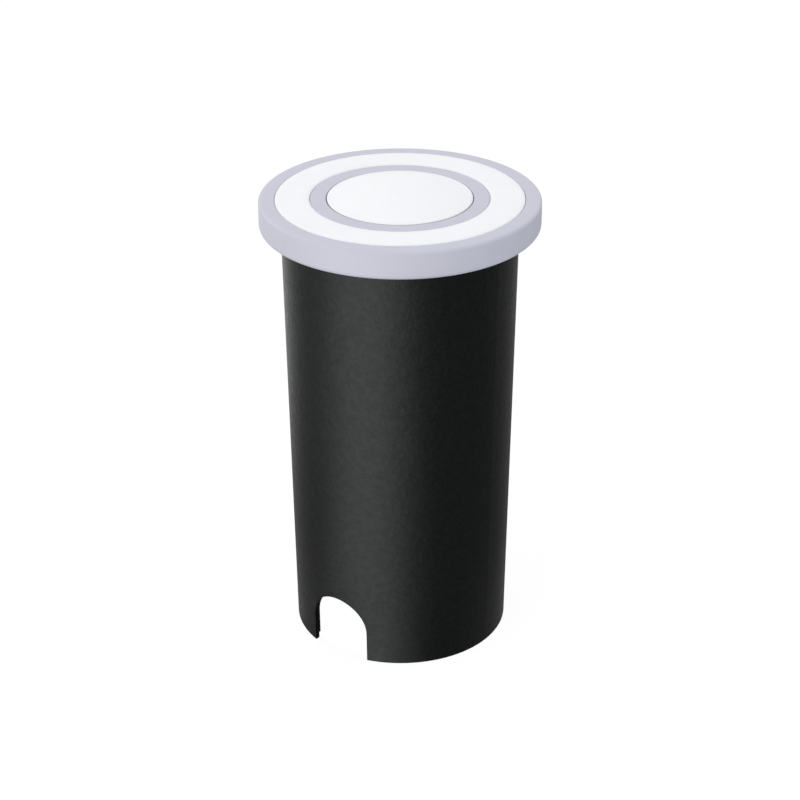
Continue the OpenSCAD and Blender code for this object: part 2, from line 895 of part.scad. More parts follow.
module rear_cap_screws() {
  thread_l = cap_t - cap_head_h - screw_hole_gap + cap_screw_bite;
  color("#b9bcc0")
    around(cap_screw_count, cap_screw_start)
      translate([cap_screw_r, 0, cap_low_z + screw_hole_gap])
        screw_up(cap_head_r, cap_head_h, cap_thread_r, thread_l);
}

// Gland body: entry thread in the cap, hexagon, clamping thread with the seal's chamber
module gland_body() {
  color("#3b3d40")
    difference() {
      union() {
        translate([0, 0, gland_top_z - cut])
          cylinder(r = gland_entry_r - thread_fit, h = cap_spigot_z - gland_top_z - edge_break + cut);
        eased_hex(gland_flange_z, gland_flange_h);
        translate([0, 0, gland_neck_z])
          cylinder(r = gland_neck_r, h = gland_neck_l + cut);
      }
      translate([0, 0, gland_neck_z - cut])
        cylinder(r = gland_bore_r, h = cap_spigot_z - gland_neck_z + 2 * cut);
      translate([0, 0, gland_neck_z - cut])
        cylinder(r = gland_chamber_r, h = gland_chamber_l + cut);
    }
}

module gland_flange_seal() {
  color("#1d1d1d")
    flat_ring(gland_entry_r + part_gap, gland_entry_r + part_gap + flange_seal_w, gland_top_z, flange_seal_t);
}

// Rubber bush that closes on the cable
module gland_seal() {
  color("#1d1d1d")
    revolve([
      [cable_r, thrust_top_z, edge_break],
      [gland_chamber_r - part_gap, thrust_top_z, edge_break],
      [gland_chamber_r - part_gap, thrust_top_z + gland_seal_l],
      [cable_r, thrust_top_z + gland_seal_l]
    ]);
}

// Ring between the nut and the seal, which moves along with the nut and doesn't turn
module gland_thrust_ring() {
  color("#d9d9d6")
    flat_ring(gland_bore_r, gland_chamber_r - part_gap, thrust_low_z, thrust_ring_t);
}

// Domed hexagonal nut, shut down on the thrust ring
module gland_nut() {
  nut_h = nut_top_z - nut_low_z;
  color("#3b3d40")
    difference() {
      intersection() {
        translate([0, 0, nut_low_z])
          cylinder(r = hex_corner_r, h = nut_h, $fn = 6);
        revolve([
          [0, nut_low_z],
          [hex_corner_r - nut_dome, nut_low_z, nut_dome / 2],
          [hex_corner_r + edge_break, nut_low_z + nut_dome],
          [hex_corner_r + edge_break, nut_top_z - hex_break],
          [hex_corner_r - hex_break, nut_top_z],
          [0, nut_top_z]
        ]);
      }
      translate([0, 0, nut_low_z - cut])
        cylinder(r = gland_bore_r, h = nut_h + 2 * cut);
      translate([0, 0, thrust_low_z])
        cylinder(r = gland_neck_r + thread_fit, h = nut_h);
    }
}

mounting_sleeve();
trim_ring();
ring_diffuser();
inner_band();
centre_diffuser();
ring_outer_seal();
ring_inner_seal();
centre_seal();
ring_reflector();
light_divider();
centre_reflector();
led_board();
ring_leds();
centre_led();
thermal_pad();
lamp_housing();
head_gasket();
divider_screws();
upper_grip_ring();
lower_grip_ring();
driver_liner();
driver_board();
transformer_core();
transformer_coil();
smoothing_capacitors();
driver_chips();
terminal_block();
terminal_screws();
led_leads();
rear_cap();
rear_cap_seal();
rear_cap_screws();
gland_body();
gland_flange_seal();
gland_seal();
gland_thrust_ring();
gland_nut();
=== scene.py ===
"""Recessed floor light: finishes, fine pieces and a studio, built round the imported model"""
import math

import bmesh
import bpy
from bpy.props import FloatProperty, FloatVectorProperty, IntProperty, PointerProperty
from mathutils import Matrix, Vector


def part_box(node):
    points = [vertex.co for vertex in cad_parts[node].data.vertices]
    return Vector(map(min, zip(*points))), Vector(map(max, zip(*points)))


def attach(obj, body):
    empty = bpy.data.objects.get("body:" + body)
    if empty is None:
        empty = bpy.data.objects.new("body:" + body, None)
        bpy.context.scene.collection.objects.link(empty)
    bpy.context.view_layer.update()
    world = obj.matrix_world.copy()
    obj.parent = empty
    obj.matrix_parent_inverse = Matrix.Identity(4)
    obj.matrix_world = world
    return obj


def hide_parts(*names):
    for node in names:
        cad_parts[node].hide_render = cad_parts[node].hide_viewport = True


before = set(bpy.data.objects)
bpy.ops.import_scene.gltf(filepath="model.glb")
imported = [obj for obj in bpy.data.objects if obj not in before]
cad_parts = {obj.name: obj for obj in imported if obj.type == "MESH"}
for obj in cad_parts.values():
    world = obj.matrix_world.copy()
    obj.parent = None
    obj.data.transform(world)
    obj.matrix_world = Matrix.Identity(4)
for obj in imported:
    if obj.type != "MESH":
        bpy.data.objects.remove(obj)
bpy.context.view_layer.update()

bl_info = {
    "name": "Recessed Floor Light",
    "version": (1, 0, 0),
    "blender": (4, 5, 0),
    "location": "View3D > Sidebar > Floor Light",
    "description": "Builds the finishes, the fine pieces and the studio of a recessed floor light",
    "category": "Object",
}

MM = 0.001
FULL_TURN = 2 * math.pi
SHARP_ANGLE = math.radians(32)

# Sizes of the pieces are in millimetres, those of the studio in metres.

# Heights and radii of the head, as packed
UNDERSIDE_Z, SEAT_Z, FACE_Z = 95.8, 96.1, 102.0
SPIGOT_LOW, LEDGE_Z, LENS_LOW, LENS_TOP = 89.8, 98.6, 99.2, 102.2
SPIGOT_IN, SPIGOT_OUT, SEAT_R, TRIM_R = 22.3, 23.4, 25.5, 30.0
POCKET_R, WINDOW_R, WINDOW_LOW = 26.6, 24.1, 96.8
BAND_R, DISC_R, BOARD_TOP = 19.05, 15.48, 91.6

# Roundings of the trim's edges
SPIGOT_EDGE, TRIM_LOW_EDGE, TRIM_TOP_EDGE, POCKET_EDGE = 0.25, 1.13, 0.62, 0.08

# Painted shade in the joint round the centre lens: top of the darker grey on the lens's side, half
# the height over which it fades, and its shade
JOINT_SHADE_TOP, JOINT_SHADE_FADE, JOINT_SHADE_LEVEL = 101.97, 0.02, 0.54

# Ring packages: number, radius of their ring, top, half sides, depth and radius of the cup
RING_LEDS, RING_LED_R, RING_LED_TOP = 12, 18.45, 92.3
PACKAGE_HALF_X, PACKAGE_HALF_Y, CUP_DEPTH, CUP_R = 1.4, 1.75, 0.12, 0.95

# Centre chip: top, half side, radius of the dam and of the gel, and how deep the gel's edge lies
CHIP_TOP, CHIP_HALF, DAM_R, GEL_R, GEL_DROP = 93.0, 6, 5.6, 5.1, 0.16

# Copper rings of the light board, as inner and outer radius, and pitch of the driver board's tracks
LIGHT_TRACKS = ((20.2, 20.7), (15.9, 16.5), (9.9, 10.3), (7.4, 7.7))
DRIVER_TRACK_PITCH = 5.0

# Radius outside which the housing's collars and head are turned bright
TURNED_FROM = 22.6

# Squareness of moulded corners: sharp for bases and flanges, soft for the wound tape
SQUARE, SOFT_SQUARE = 24, 9

# Threads: slope of the flanks, and how much is cut off at root and crest
FLANK_SLOPE, FLANK_CUT = 1.35, 0.175

# Places of the mix node's colour sockets, whose names others of its sockets have too
FIRST_COLOUR, SECOND_COLOUR, MIXED_COLOUR = 6, 7, 2

# Slack in the tests that tell which faces get a piece's second material
SLACK = 0.01

# Screws: number, angle of the first, distance from the axis, and the sizes that add_screw takes
DIVIDER_SCREWS = {
    "count": 3, "start": 90, "reach": 14.58, "head_z": 84.5, "head_r": 1.9, "head_h": 1.5,
    "thread_r": 1.0, "end_z": 93.2, "pitch": 0.4,
}
CAP_SCREWS = {
    "count": 4, "start": 45, "reach": 18.48, "head_z": 36.1, "head_r": 2.0, "head_h": 1.6,
    "thread_r": 1.1, "end_z": 45.0, "pitch": 0.45,
}

# Grooves round a screw's head, and half their depth
KNURLS, KNURL_DEPTH = 24, 0.03

# Coil: thickness of the bobbin's flanges, how far the tape lies inside them and from where on
# it shows, height of a wire's ridge, and half sides of the hole for the core's leg
COIL_FLANGE, TAPE_INSET, TAPE_FROM, WIRE_RIDGE, LEG_HOLE = 0.55, 0.35, 3, 0.06, (1.75, 3.15)

# Capacitors: half angle of the stripe, and width of the sleeve's fold round the bare top
STRIPE_HALF, CAN_FOLD = 0.35, 0.6

# Chips: lowest X and Z of each, width over the legs, length, how far the body lies inside the
# legs' tips and above the board, then number, first place, pitch and size of the legs
CHIP_SPOTS = ((-8.75, 63.3), (6.75, 72.3), (-7.45, 50.1))
CHIP_WIDTH, CHIP_LENGTH, CHIP_INSET, CHIP_LIFT = 2.0, 4, 0.3, 0.12
LEGS, LEG_FIRST, LEG_PITCH, LEG_SIZE = 4, 0.45, 0.9, (0.38, 0.55, 0.4)

# Heights and radii of the cable gland
ENTRY_TOP, ENTRY_R, GLAND_TOP, FLANGE_LOW = 44.25, 5.95, 35.0, 31.0
NECK_LOW, NECK_R, CHAMBER_R, CHAMBER_TOP, BORE_R = 23.0, 7.0, 5.5, 29.0, 3.7
HEX_FLAT, HEX_CORNER, HEX_EASE = 8.5, 9.815, 0.8
NUT_TOP, NUT_FLOOR, NUT_LOW, NUT_BORE_R = 30.6, 22.4, 20.4, 7.05
NUT_SHOULDER, NUT_ROUND = 2.2, 1.1

# Threads of the gland: top and foot of each, and the heights towards which it fades out
ENTRY_THREAD, NECK_THREAD = (43.85, 35.3, 35.3, 43.85), (30.7, 23.4, 23.2, 30.9)
BORE_THREAD, THREAD_STEPS = (30.15, 23.0, 22.9, 30.2), 8

# Grip ribs of the nut: half the width of their field on each flat, pitch, half depth, and the
# heights at which the plain and the ribbed hexagon begin and end
GRIP_HALF, GRIP_PITCH, GRIP_DEPTH = 3.6, 0.9, 0.13
NUT_SIDE = ((23.8, "hex"), (24.1, "grip"), (28.9, "grip"), (29.2, "hex"))

# Floor: radius, opening under the sleeve, level that shows, colour, and its share in a shadow.
# Floor and card have STAGE_COLUMNS sides.
STAGE_COLUMNS = 72
FLOOR_REACH, FLOOR_OPENING, FLOOR_GLOW = 3.0, 0.0222, 0.93
FLOOR_COLOUR, SHADOW_SHARE = (0.83, 0.83, 0.83), 0.10

# Card that the black sleeve reflects: radius, opening, height and level of its dark core. Then,
# in millimetres, the radii over which it goes from the core to the grades at the foot, on to the
# near ones and on to the far ones.
CARD_REACH, CARD_OPENING, CARD_LIFT, CORE_LEVEL = 0.9, 0.0005, 0.0002, 0.02
CORE, FOOT_TO_NEAR, NEAR_TO_FAR = (23.3, 23.8), (26, 55), (60, 180)

# Grades of the card: angles in degrees from the camera's direction, and the level at each
CARD_ANGLES = (-180, -150, -125, -105, -85, -72, -58, -45, -28, -13, 0, 15, 29, 90, 145, 180)
CARD_FOOT = (
    0.30, 0.30, 0.30, 0.30, 0.31, 0.27, 0.25, 0.42, 1.75, 2.10, 1.15, 0.26, 0.18, 0.22, 0.28, 0.30,
)
CARD_NEAR = (
    0.30, 0.32, 0.27, 0.24, 0.26, 0.48, 1.15, 1.90, 2.25, 1.92, 1.15, 0.44, 0.20, 0.14, 0.20, 0.30,
)
CARD_FAR = (
    0.65, 0.88, 0.57, 0.37, 0.60, 1.15, 2.05, 2.75, 2.85, 2.25, 1.55, 0.50, 0.24, 0.15, 0.26, 0.57,
)
CARD_TOP = 3.0

# Lamps: degrees to the left of the camera, width, depth, level distance and height; and the
# height that both look at
KEY_LAMP = (44, 0.6, 0.6, 0.8, 0.8)
BACK_LAMP = (152, 0.9, 0.6, 0.8, 0.5)
LAMP_AIM = 0.06

# Camera: sensor, sideways shift, and nearest and farthest distance that it sees
SENSOR, SHIFT, CLIP = 36, -0.0007, (0.01, 20)


# Settings that a user would change


def colour_setting(name, description, default):
    """Colour of a finish or a light"""
    return FloatVectorProperty(
        name=name, description=description, default=default, subtype="COLOR", min=0, max=1
    )


def length_setting(name, description, default, low=0.0, high=0.1):
    """Length in metres"""
    return FloatProperty(
        name=name, description=description, default=default, min=low, max=high,
        unit="LENGTH", subtype="DISTANCE", precision=5,
    )


def angle_setting(name, description, degrees):
    """Angle, given in degrees"""
    return FloatProperty(
        name=name, description=description, default=math.radians(degrees), subtype="ANGLE"
    )


def strength_setting(name, description, default):
    """Power or strength of a light"""
    return FloatProperty(name=name, description=description, default=default, min=0, max=100)


class FloorLightFinishes(bpy.types.PropertyGroup):
    """Colours of the light's finishes"""

    trim: colour_setting("Trim", "Lilac grey paint of trim and band", (0.572, 0.572, 0.662))
    opal: colour_setting("Opal", "White of the two lenses", (0.919, 0.933, 0.958))
    sleeve: colour_setting("Sleeve", "Moulded black of the sleeve", (0.0030, 0.0034, 0.0033))
    casting: colour_setting("Casting", "Blasted aluminium of housing and cap", (0.40, 0.41, 0.43))
    rubber: colour_setting("Rubber", "Rubber of grip rings and seals", (0.014, 0.014, 0.015))
    nylon: colour_setting("Nylon", "Dark grey nylon of the cable gland", (0.040, 0.042, 0.046))
    steel: colour_setting("Steel", "Bright steel of the screws", (0.56, 0.57, 0.58))
    phosphor: colour_setting("Phosphor", "Yellow of the light packages", (0.88, 0.66, 0.13))


class FloorLightSizes(bpy.types.PropertyGroup):
    """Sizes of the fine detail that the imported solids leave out"""

    crown: length_setting("Crown", "Rise of the centre lens above its own edge", 0.0014)
    lens_drop: length_setting("Lens drop", "Depth of the lenses' soft edges", 0.0003)
    lens_edge: length_setting("Lens edge", "Width of the lenses' soft edges", 0.0009)
    ring_joint: length_setting("Ring joint", "Joint between ring lens and trim", 0.0001)
    band_joint: length_setting("Band joint", "Joint between ring lens and band", 0.00007)
    gland_pitch: length_setting("Gland pitch", "Pitch of the gland's threads", 0.0015)
    gland_thread: length_setting("Gland thread", "Depth of the gland's threads", 0.00045)
    wire: length_setting("Wire", "Diameter of the wire under the coil's tape", 0.00036)
    columns: IntProperty(
        name="Columns", description="Faces round each turned piece", default=288, min=48, max=720
    )


class FloorLightStudio(bpy.types.PropertyGroup):
    """Camera, lamps and the card that the sleeve reflects"""

    azimuth: angle_setting("Azimuth", "Direction of the camera round the light", 36.4)
    pitch: angle_setting("Pitch", "How far the camera looks down", 27.03)
    roll: angle_setting("Roll", "Turn of the camera about its own axis", -0.16)
    reach: length_setting("Reach", "Level distance of the camera", 0.4180, 0.1, 5.0)
    height: length_setting("Height", "Height of the camera above the floor", 0.26712, 0.0, 5.0)
    lens: FloatProperty(
        name="Lens", description="Focal length of the camera", default=95.32, min=10, max=300,
        unit="CAMERA",
    )
    world: strength_setting("World", "Strength of the even light from all round", 0.79)
    sky: colour_setting("Sky", "Tint of the even light", (0.947, 0.970, 1.0))
    key: strength_setting("Key", "Power of the soft lamp on the left, in watts", 3.45)
    key_tint: colour_setting("Key tint", "Warmth of the soft lamp on the left", (1.0, 0.945, 0.86))
    back: strength_setting("Back", "Power of the soft lamp behind, in watts", 0.9)
    card: strength_setting("Card", "Strength of the card that the sleeve reflects", 1.0)


def sizes():
    """The scene's sizes of fine detail"""
    return bpy.context.scene.floor_light_sizes


def colours():
    """The scene's colours of the finishes"""
    return bpy.context.scene.floor_light_finishes


# Node materials


class Recipe:
    """Nodes of one material or world, with a short way to add and join them"""

    def __init__(self, name, owners=None):
        if owners is None:
            owners = bpy.data.materials
        self.owner = owners.new(name)
        self.owner.use_nodes = True
        self.tree = self.owner.node_tree
        self.tree.nodes.clear()
        self.place = self.add("ShaderNodeTexCoord").outputs["Object"]

    def add(self, kind, sockets=None, **settings):
        """Adds a node, sets its settings, and joins or sets its sockets. A node that is given for
        a socket stands for its first output."""
        node = self.tree.nodes.new(kind)
        for key, value in settings.items():
            setattr(node, key, value)
        for key, value in (sockets or {}).items():
            if isinstance(value, bpy.types.Node):
                value = value.outputs[0]
            if isinstance(value, bpy.types.NodeSocket):
                self.tree.links.new(value, node.inputs[key])
            else:
                node.inputs[key].default_value = value
        return node

    def noise(self, size, detail=3.0, roughness=0.55):
        """Noise whose blotches are about size millimetres wide"""
        sockets = {"Scale": 1 / (size * MM), "Detail": detail, "Roughness": roughness}
        return self.add("ShaderNodeTexNoise", {"Vector": self.place, **sockets}).outputs["Fac"]

    def cells(self, size):
        """Distance to the nearest of scattered points about size millimetres apart"""
        sockets = {"Vector": self.place, "Scale": 1 / (size * MM)}
        return self.add("ShaderNodeTexVoronoi", sockets).outputs["Distance"]

    def rings(self, pitch):
        """Turning marks round the Z axis, pitch millimetres apart"""
        return self.add(
            "ShaderNodeTexWave",
            {"Vector": self.place, "Scale": 1 / (pitch * MM * FULL_TURN), "Distortion": 0.6,
             "Detail": 2.0, "Detail Scale": 1.5},
            wave_type="RINGS", rings_direction="Z",
        ).outputs["Fac"]

    def radius(self):
        """Distance from the Z axis, in metres"""
        flat = self.add("ShaderNodeVectorMath", {0: self.place, 1: (1, 1, 0)}, operation="MULTIPLY")
        return self.add("ShaderNodeVectorMath", {0: flat}, operation="LENGTH").outputs["Value"]

    def outside(self, low, high):
        """0 within a radius of low millimetres and 1 beyond high"""
        return self.spread(self.radius(), start=low * MM, end=high * MM)

    def spread(self, value, low=0.0, high=1.0, start=0.3, end=0.7):
        """Maps a texture onto the span from low to high"""
        sockets = {"From Min": start, "From Max": end, "To Min": low, "To Max": high}
        return self.add("ShaderNodeMapRange", {"Value": value, **sockets})

    def height(self):
        """Height above the floor, in metres"""
        return self.add("ShaderNodeSeparateXYZ", {0: self.place}).outputs["Z"]

    def calculate(self, operation, *values):
        """Result of a maths operation on some values"""
        return self.add("ShaderNodeMath", dict(enumerate(values)), operation=operation)

    def seen(self):
        """1 for camera, glossy and transmission rays, and 0 for those that light things"""
        path = self.add("ShaderNodeLightPath").outputs
        seen = self.calculate("MAXIMUM", path["Is Camera Ray"], path["Is Glossy Ray"])
        return self.calculate("MAXIMUM", seen, path["Is Transmission Ray"])

    def blend(self, share, first, second):
        """Mixes two colours, or what other nodes give, by a texture"""
        sockets = {"Factor": share, FIRST_COLOUR: first, SECOND_COLOUR: second}
        return self.add("ShaderNodeMix", sockets, data_type="RGBA").outputs[MIXED_COLOUR]

    def shades(self, share, colour, low, high):
        """Mixes two shades of a colour by a texture"""
        return self.blend(share, shade(colour, low), shade(colour, high))

    def mix(self, share, first, second):
        """Mixes two shaders"""
        return self.add("ShaderNodeMixShader", {0: share, 1: first, 2: second})

    def bump(self, height, depth, under=None):
        """Bump of depth millimetres from a texture, laid over another bump"""
        sockets = {"Height": height, "Distance": depth * MM, "Strength": 1.0}
        if under is not None:
            sockets["Normal"] = under
        return self.add("ShaderNodeBump", sockets)

    def principled(self, tone, gloss, relief, **more):
        """Ends the material with the main shader, its further sockets named with underscores"""
        sockets = {"Base Color": tone, "Roughness": gloss, "Normal": relief}
        sockets.update((name.replace("_", " "), value) for name, value in more.items())
        return self.end(self.add("ShaderNodeBsdfPrincipled", sockets))

    def end(self, shader, kind="ShaderNodeOutputMaterial"):
        """Ends the nodes with a shader"""
        self.add(kind, {"Surface": shader})
        return self.owner


def shade(colour, factor):
    """The colour made darker or lighter, as four numbers"""
    return (*(min(1.0, c * factor) for c in colour), 1.0)


def finish(name, colour, roughness, variation=0.06, blotch=2.0, grain=0.3, depth=0.01,
           marks=None, **sockets):
    """A finish with blotches of colour, uneven gloss, a fine grain and, if wanted, turning marks"""
    r = Recipe(name)
    mottle = r.spread(r.noise(blotch, 4.0))
    tone = r.shades(mottle, colour, 1 - variation, 1 + variation)
    gloss = r.spread(r.noise(blotch * 0.6), roughness - 0.07, roughness + 0.07)
    relief = r.bump(r.noise(grain, 2.0), depth)
    if marks:
        relief = r.bump(r.rings(marks), depth, relief)
    return r.principled(tone, gloss, relief, **sockets)


def trim_paint(colour):
    """Satin paint: the faint orange peel of a sprayed film over turned metal"""
    r = Recipe("trim_paint")
    cloud = r.spread(r.noise(6.0))
    speck = r.spread(r.noise(0.35, 2.0), 0.0, 0.35)
    tone = r.shades(cloud, colour, 0.985, 1.015)
    tone = r.blend(speck, tone, shade(colour, 1.03))
    gloss = r.spread(r.noise(3.0), 0.40, 0.50)
    peel = r.bump(r.noise(0.9, 1.5, 0.4), 0.010)
    peel = r.bump(r.noise(0.16, 2.0), 0.0025, peel)
    return r.principled(tone, gloss, peel, Specular_IOR_Level=0.38)


def opal(name, colour, shaded_side_top=None):
    """Opal lens: milky body that lets a little light sink in, under a satin face, with its side
    below a height painted darker grey if wanted, as painted shade in the joint round it"""
    r = Recipe(name)
    cloud = r.spread(r.noise(5.0))
    tone = r.shades(cloud, colour, 0.992, 1.008)
    # Painted shade: below the given height the lens's side turns grey, standing for the shade in
    # the joint round the lens
    if shaded_side_top:
        low = r.spread(r.height(), 1.0, 0.0, (shaded_side_top - JOINT_SHADE_FADE) * MM, (shaded_side_top + JOINT_SHADE_FADE) * MM)
        tone = r.blend(low, tone, shade(colour, JOINT_SHADE_LEVEL))
    gloss = r.spread(r.noise(1.5), 0.30, 0.38)
    face = r.bump(r.noise(0.5, 2.0), 0.0020)
    return r.principled(
        tone, gloss, face, IOR=1.49, Specular_IOR_Level=0.3, Subsurface_Weight=0.25,
        Subsurface_Radius=(0.0022, 0.0020, 0.0019), Subsurface_Scale=1.0,
    )


def moulded_black(colour):
    """Black moulding with the mottled, spark-eroded texture of its tool"""
    r = Recipe("moulded_black")
    patches = r.spread(r.noise(1.1, 4.0, 0.6), 0.0, 1.0, 0.35, 0.65)
    flecks = r.spread(r.noise(0.30, 2.0, 0.6), 0.0, 1.0, 0.55, 0.72)
    tone = r.shades(patches, colour, 0.80, 1.20)
    tone = r.blend(flecks, tone, shade(colour, 2.6))
    gloss = r.spread(r.noise(0.9), 0.28, 0.38)
    pits = r.spread(r.noise(1.4, 4.0, 0.6), 0.300, 0.242, 0.36, 0.64)
    relief = r.bump(r.noise(3.2, 2.0), 0.060)
    relief = r.bump(r.noise(1.15, 2.0, 0.6), 0.055, relief)
    relief = r.bump(r.noise(0.50, 3.0, 0.65), 0.022, relief)
    relief = r.bump(r.cells(0.55), 0.010, relief)
    tint = (0.955, 1.0, 0.985, 1.0)
    return r.principled(tone, gloss, relief, IOR=1.48, Specular_IOR_Level=pits, Specular_Tint=tint)


def casting(name, colour, turned_from=None):
    """Blasted die casting with fine dents and pores, and bright turned faces outside a radius"""
    r = Recipe(name)
    cloud = r.spread(r.noise(3.0, 5.0))
    tone = r.shades(cloud, colour, 0.86, 1.10)
    gloss = r.spread(r.noise(0.8), 0.42, 0.60)
    relief = r.bump(r.cells(0.45), 0.030)
    relief = r.bump(r.noise(0.12, 2.0), 0.006, relief)
    if turned_from:
        turned = r.outside(turned_from, turned_from + 0.05)
        pitch = 0.22 * MM
        marks = r.calculate("MULTIPLY", r.height(), FULL_TURN / pitch)
        cuts = r.bump(r.calculate("SINE", marks), 0.004)
        tone = r.blend(turned, tone, shade(colour, 1.45))
        gloss = r.blend(turned, gloss, (0.24, 0.24, 0.24, 1))
        relief = r.blend(turned, relief, cuts)
    return r.principled(tone, gloss, relief, Metallic=0.9)


def rubber(name, colour, roughness=0.62):
    """Moulded rubber with a faint pale bloom"""
    r = Recipe(name)
    bloom = r.spread(r.noise(1.6, 4.0), 0.0, 1.0, 0.4, 0.75)
    tone = r.shades(bloom, colour, 0.9, 1.9)
    gloss = r.spread(r.noise(0.7), roughness - 0.08, roughness + 0.1)
    relief = r.bump(r.noise(0.25), 0.010)
    return r.principled(tone, gloss, relief, Specular_IOR_Level=0.3)


def printed_board(name, mask, bare, rings=(), grid=None):
    """Circuit board: solder mask with the raised copper of its tracks showing through"""
    r = Recipe(name)
    if grid:
        upright = r.add("ShaderNodeMapping", {"Vector": r.place, "Rotation": (math.pi / 2, 0, 0)})
        tracks = r.add("ShaderNodeTexBrick", {
            "Vector": upright, "Scale": 1 / (grid * MM),
            "Mortar Size": 0.05, "Mortar Smooth": 0.2, "Brick Width": 0.9, "Row Height": 0.42,
        }).outputs["Fac"]
    else:
        tracks = None
        for low, high in rings:
            middle, half = (low + high) / 2 * MM, (high - low) / 2 * MM
            inside = r.calculate("COMPARE", r.radius(), middle, half)
            tracks = inside if tracks is None else r.calculate("MAXIMUM", tracks, inside)
    cloud = r.spread(r.noise(2.5))
    ground = r.shades(cloud, mask, 0.94, 1.06)
    tone = r.blend(tracks, ground, shade(bare, 1.0))
    gloss = r.spread(r.noise(1.2), 0.26, 0.38)
    relief = r.bump(tracks, 0.035)
    relief = r.bump(r.noise(0.4, 2.0), 0.004, relief)
    return r.principled(tone, gloss, relief)


# Meshes


def rounded(corners, steps=10):
    """Points of an outline of corners (radius, height, fillet), with an arc for each fillet"""
    points = []
    for i, corner in enumerate(corners):
        fillet = corner[2] if len(corner) > 2 else 0
        here = Vector(corner[:2])
        if not fillet:
            points.append(tuple(here))
            continue
        to_last = (Vector(corners[i - 1][:2]) - here).normalized()
        to_next = (Vector(corners[(i + 1) % len(corners)][:2]) - here).normalized()
        half = to_last.angle(to_next) / 2
        centre = here + (to_last + to_next).normalized() * fillet / math.sin(half)
        first = here + to_last * fillet / math.tan(half) - centre
        last = here + to_next * fillet / math.tan(half) - centre
        start = math.atan2(first.y, first.x)
        sweep = (math.atan2(last.y, last.x) - start + math.pi) % FULL_TURN - math.pi
        for s in range(steps + 1):
            turn = start + sweep * s / steps
            points.append((centre.x + fillet * math.cos(turn), centre.y + fillet * math.sin(turn)))
    return points


def stretch(first, last, step, *tag):
    """Evenly spaced outline points from first to last, each with a tag"""
    count = max(1, round(math.dist(first, last) / step))
    (r, z), (last_r, last_z) = first, last
    return [
        (r + (last_r - r) * s / count, z + (last_z - z) * s / count, *tag)
        for s in range(count + 1)
    ]


def lathe(bm, profile, columns, shape=None, place=None):
    """Adds a closed body turned round an axis, from outline points (radius, height, tag) in
    millimetres. Points on the axis close it. Where a point has a tag, the shape gives its radius
    for each turn."""
    place = place or Matrix()
    rings = []
    for radius, height, *tag in profile:
        if radius < 1e-6:
            rings.append([bm.verts.new(place @ Vector((0, 0, height * MM)))])
            continue
        ring = []
        for c in range(columns):
            turn = FULL_TURN * c / columns
            r = shape(radius, height, turn, *tag) if tag else radius
            spot = Vector((r * math.cos(turn), r * math.sin(turn), height)) * MM
            ring.append(bm.verts.new(place @ spot))
        rings.append(ring)
    pairs = list(zip(rings, rings[1:]))
    if len(rings[0]) > 1 and len(rings[-1]) > 1:
        pairs.append((rings[-1], rings[0]))
    faces = []
    for one, two in pairs:
        for c in range(columns):
            d = (c + 1) % columns
            corners = [one[c % len(one)], one[d % len(one)], two[d % len(two)], two[c % len(two)]]
            faces.append(bm.faces.new(list(dict.fromkeys(corners))))
    return faces


def block(bm, low, high, ease=0.1):
    """Adds a box with eased edges, from its lowest and highest corners in millimetres"""
    made = bmesh.ops.create_cube(bm, size=1)["verts"]
    for vert in made:
        vert.co = [(l if c < 0 else h) * MM for c, l, h in zip(vert.co, low, high)]
    edges = list({edge for vert in made for edge in vert.link_edges})
    bmesh.ops.bevel(bm, geom=edges, offset=ease * MM, segments=2, profile=0.5, affect="EDGES")


def add_object(name, data):
    """Adds an object to the scene"""
    made = bpy.data.objects.new(name, data)
    bpy.context.scene.collection.objects.link(made)
    return made


def add_mesh(name, bm, materials):
    """Adds an object of a finished mesh"""
    mesh = bpy.data.meshes.new(name)
    bm.to_mesh(mesh)
    bm.free()
    for material in materials:
        mesh.materials.append(material)
    return add_object(name, mesh)


def mesh_object(name, bm, materials, body, slot_name, *nodes):
    """Makes a smooth object of a mesh, which rides on a body and stands for some nodes"""
    bmesh.ops.recalc_face_normals(bm, faces=bm.faces)
    for face in bm.faces:
        face.smooth = True
    for edge in bm.edges:
        edge.smooth = len(edge.link_faces) == 2 and edge.calc_face_angle() < SHARP_ANGLE
    piece = add_mesh(name, bm, materials)
    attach(piece, body)
    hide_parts(*nodes)


def turned_piece(name, profile, material, body, slot_name, node, shape=None):
    """Makes an object of one turned body"""
    bm = bmesh.new()
    lathe(bm, profile, sizes().columns, shape)
    mesh_object(name, bm, [material], body, slot_name, node)


def paint_faces(faces, number, test, place=None):
    """Gives the faces that pass a test the material of that number. The test gets each face's
    middle in millimetres, in the place that the faces were made for."""
    back = (place or Matrix()).inverted()
    for face in faces:
        if test(back @ face.calc_center_median() / MM):
            face.material_index = number


def dress(material, *names):
    """Gives carried-over solids a finish"""
    for name in names:
        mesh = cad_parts[name].data
        mesh.materials.clear()
        mesh.materials.append(material)


def thread_wave(height, turn, pitch):
    """Flank of a right-handed thread: 1 on its crest and 0 at its root"""
    phase = (height / pitch - turn / FULL_TURN) % 1
    return min(1, max(0, FLANK_SLOPE * abs(2 * phase - 1) - FLANK_CUT))


def hexagon(turn, flat):
    """Distance from the middle of a hexagon to its side"""
    return flat / math.cos((turn % (FULL_TURN / 6)) - FULL_TURN / 12)


def rectangle(turn, half_x, half_y, squareness=14):
    """Distance from the middle of a rectangle with slightly rounded corners to its side"""
    across, along = abs(math.cos(turn)) / half_x, abs(math.sin(turn)) / half_y
    return (across ** squareness + along ** squareness) ** (-1 / squareness)


def standing(x, y, spin=0.0):
    """Upright place at a point in millimetres, turned by an angle"""
    return Matrix.Translation((x * MM, y * MM, 0)) @ Matrix.Rotation(spin, 4, "Z")


# Operators, one for each piece or group of like pieces


class FLOORLIGHT_OT_sleeve(bpy.types.Operator):
    """Finish the moulded sleeve"""

    bl_idname = "floorlight.sleeve"
    bl_label = "Installation sleeve"

    def execute(self, context):
        dress(moulded_black(colours().sleeve), "mounting_sleeve")
        return {"FINISHED"}


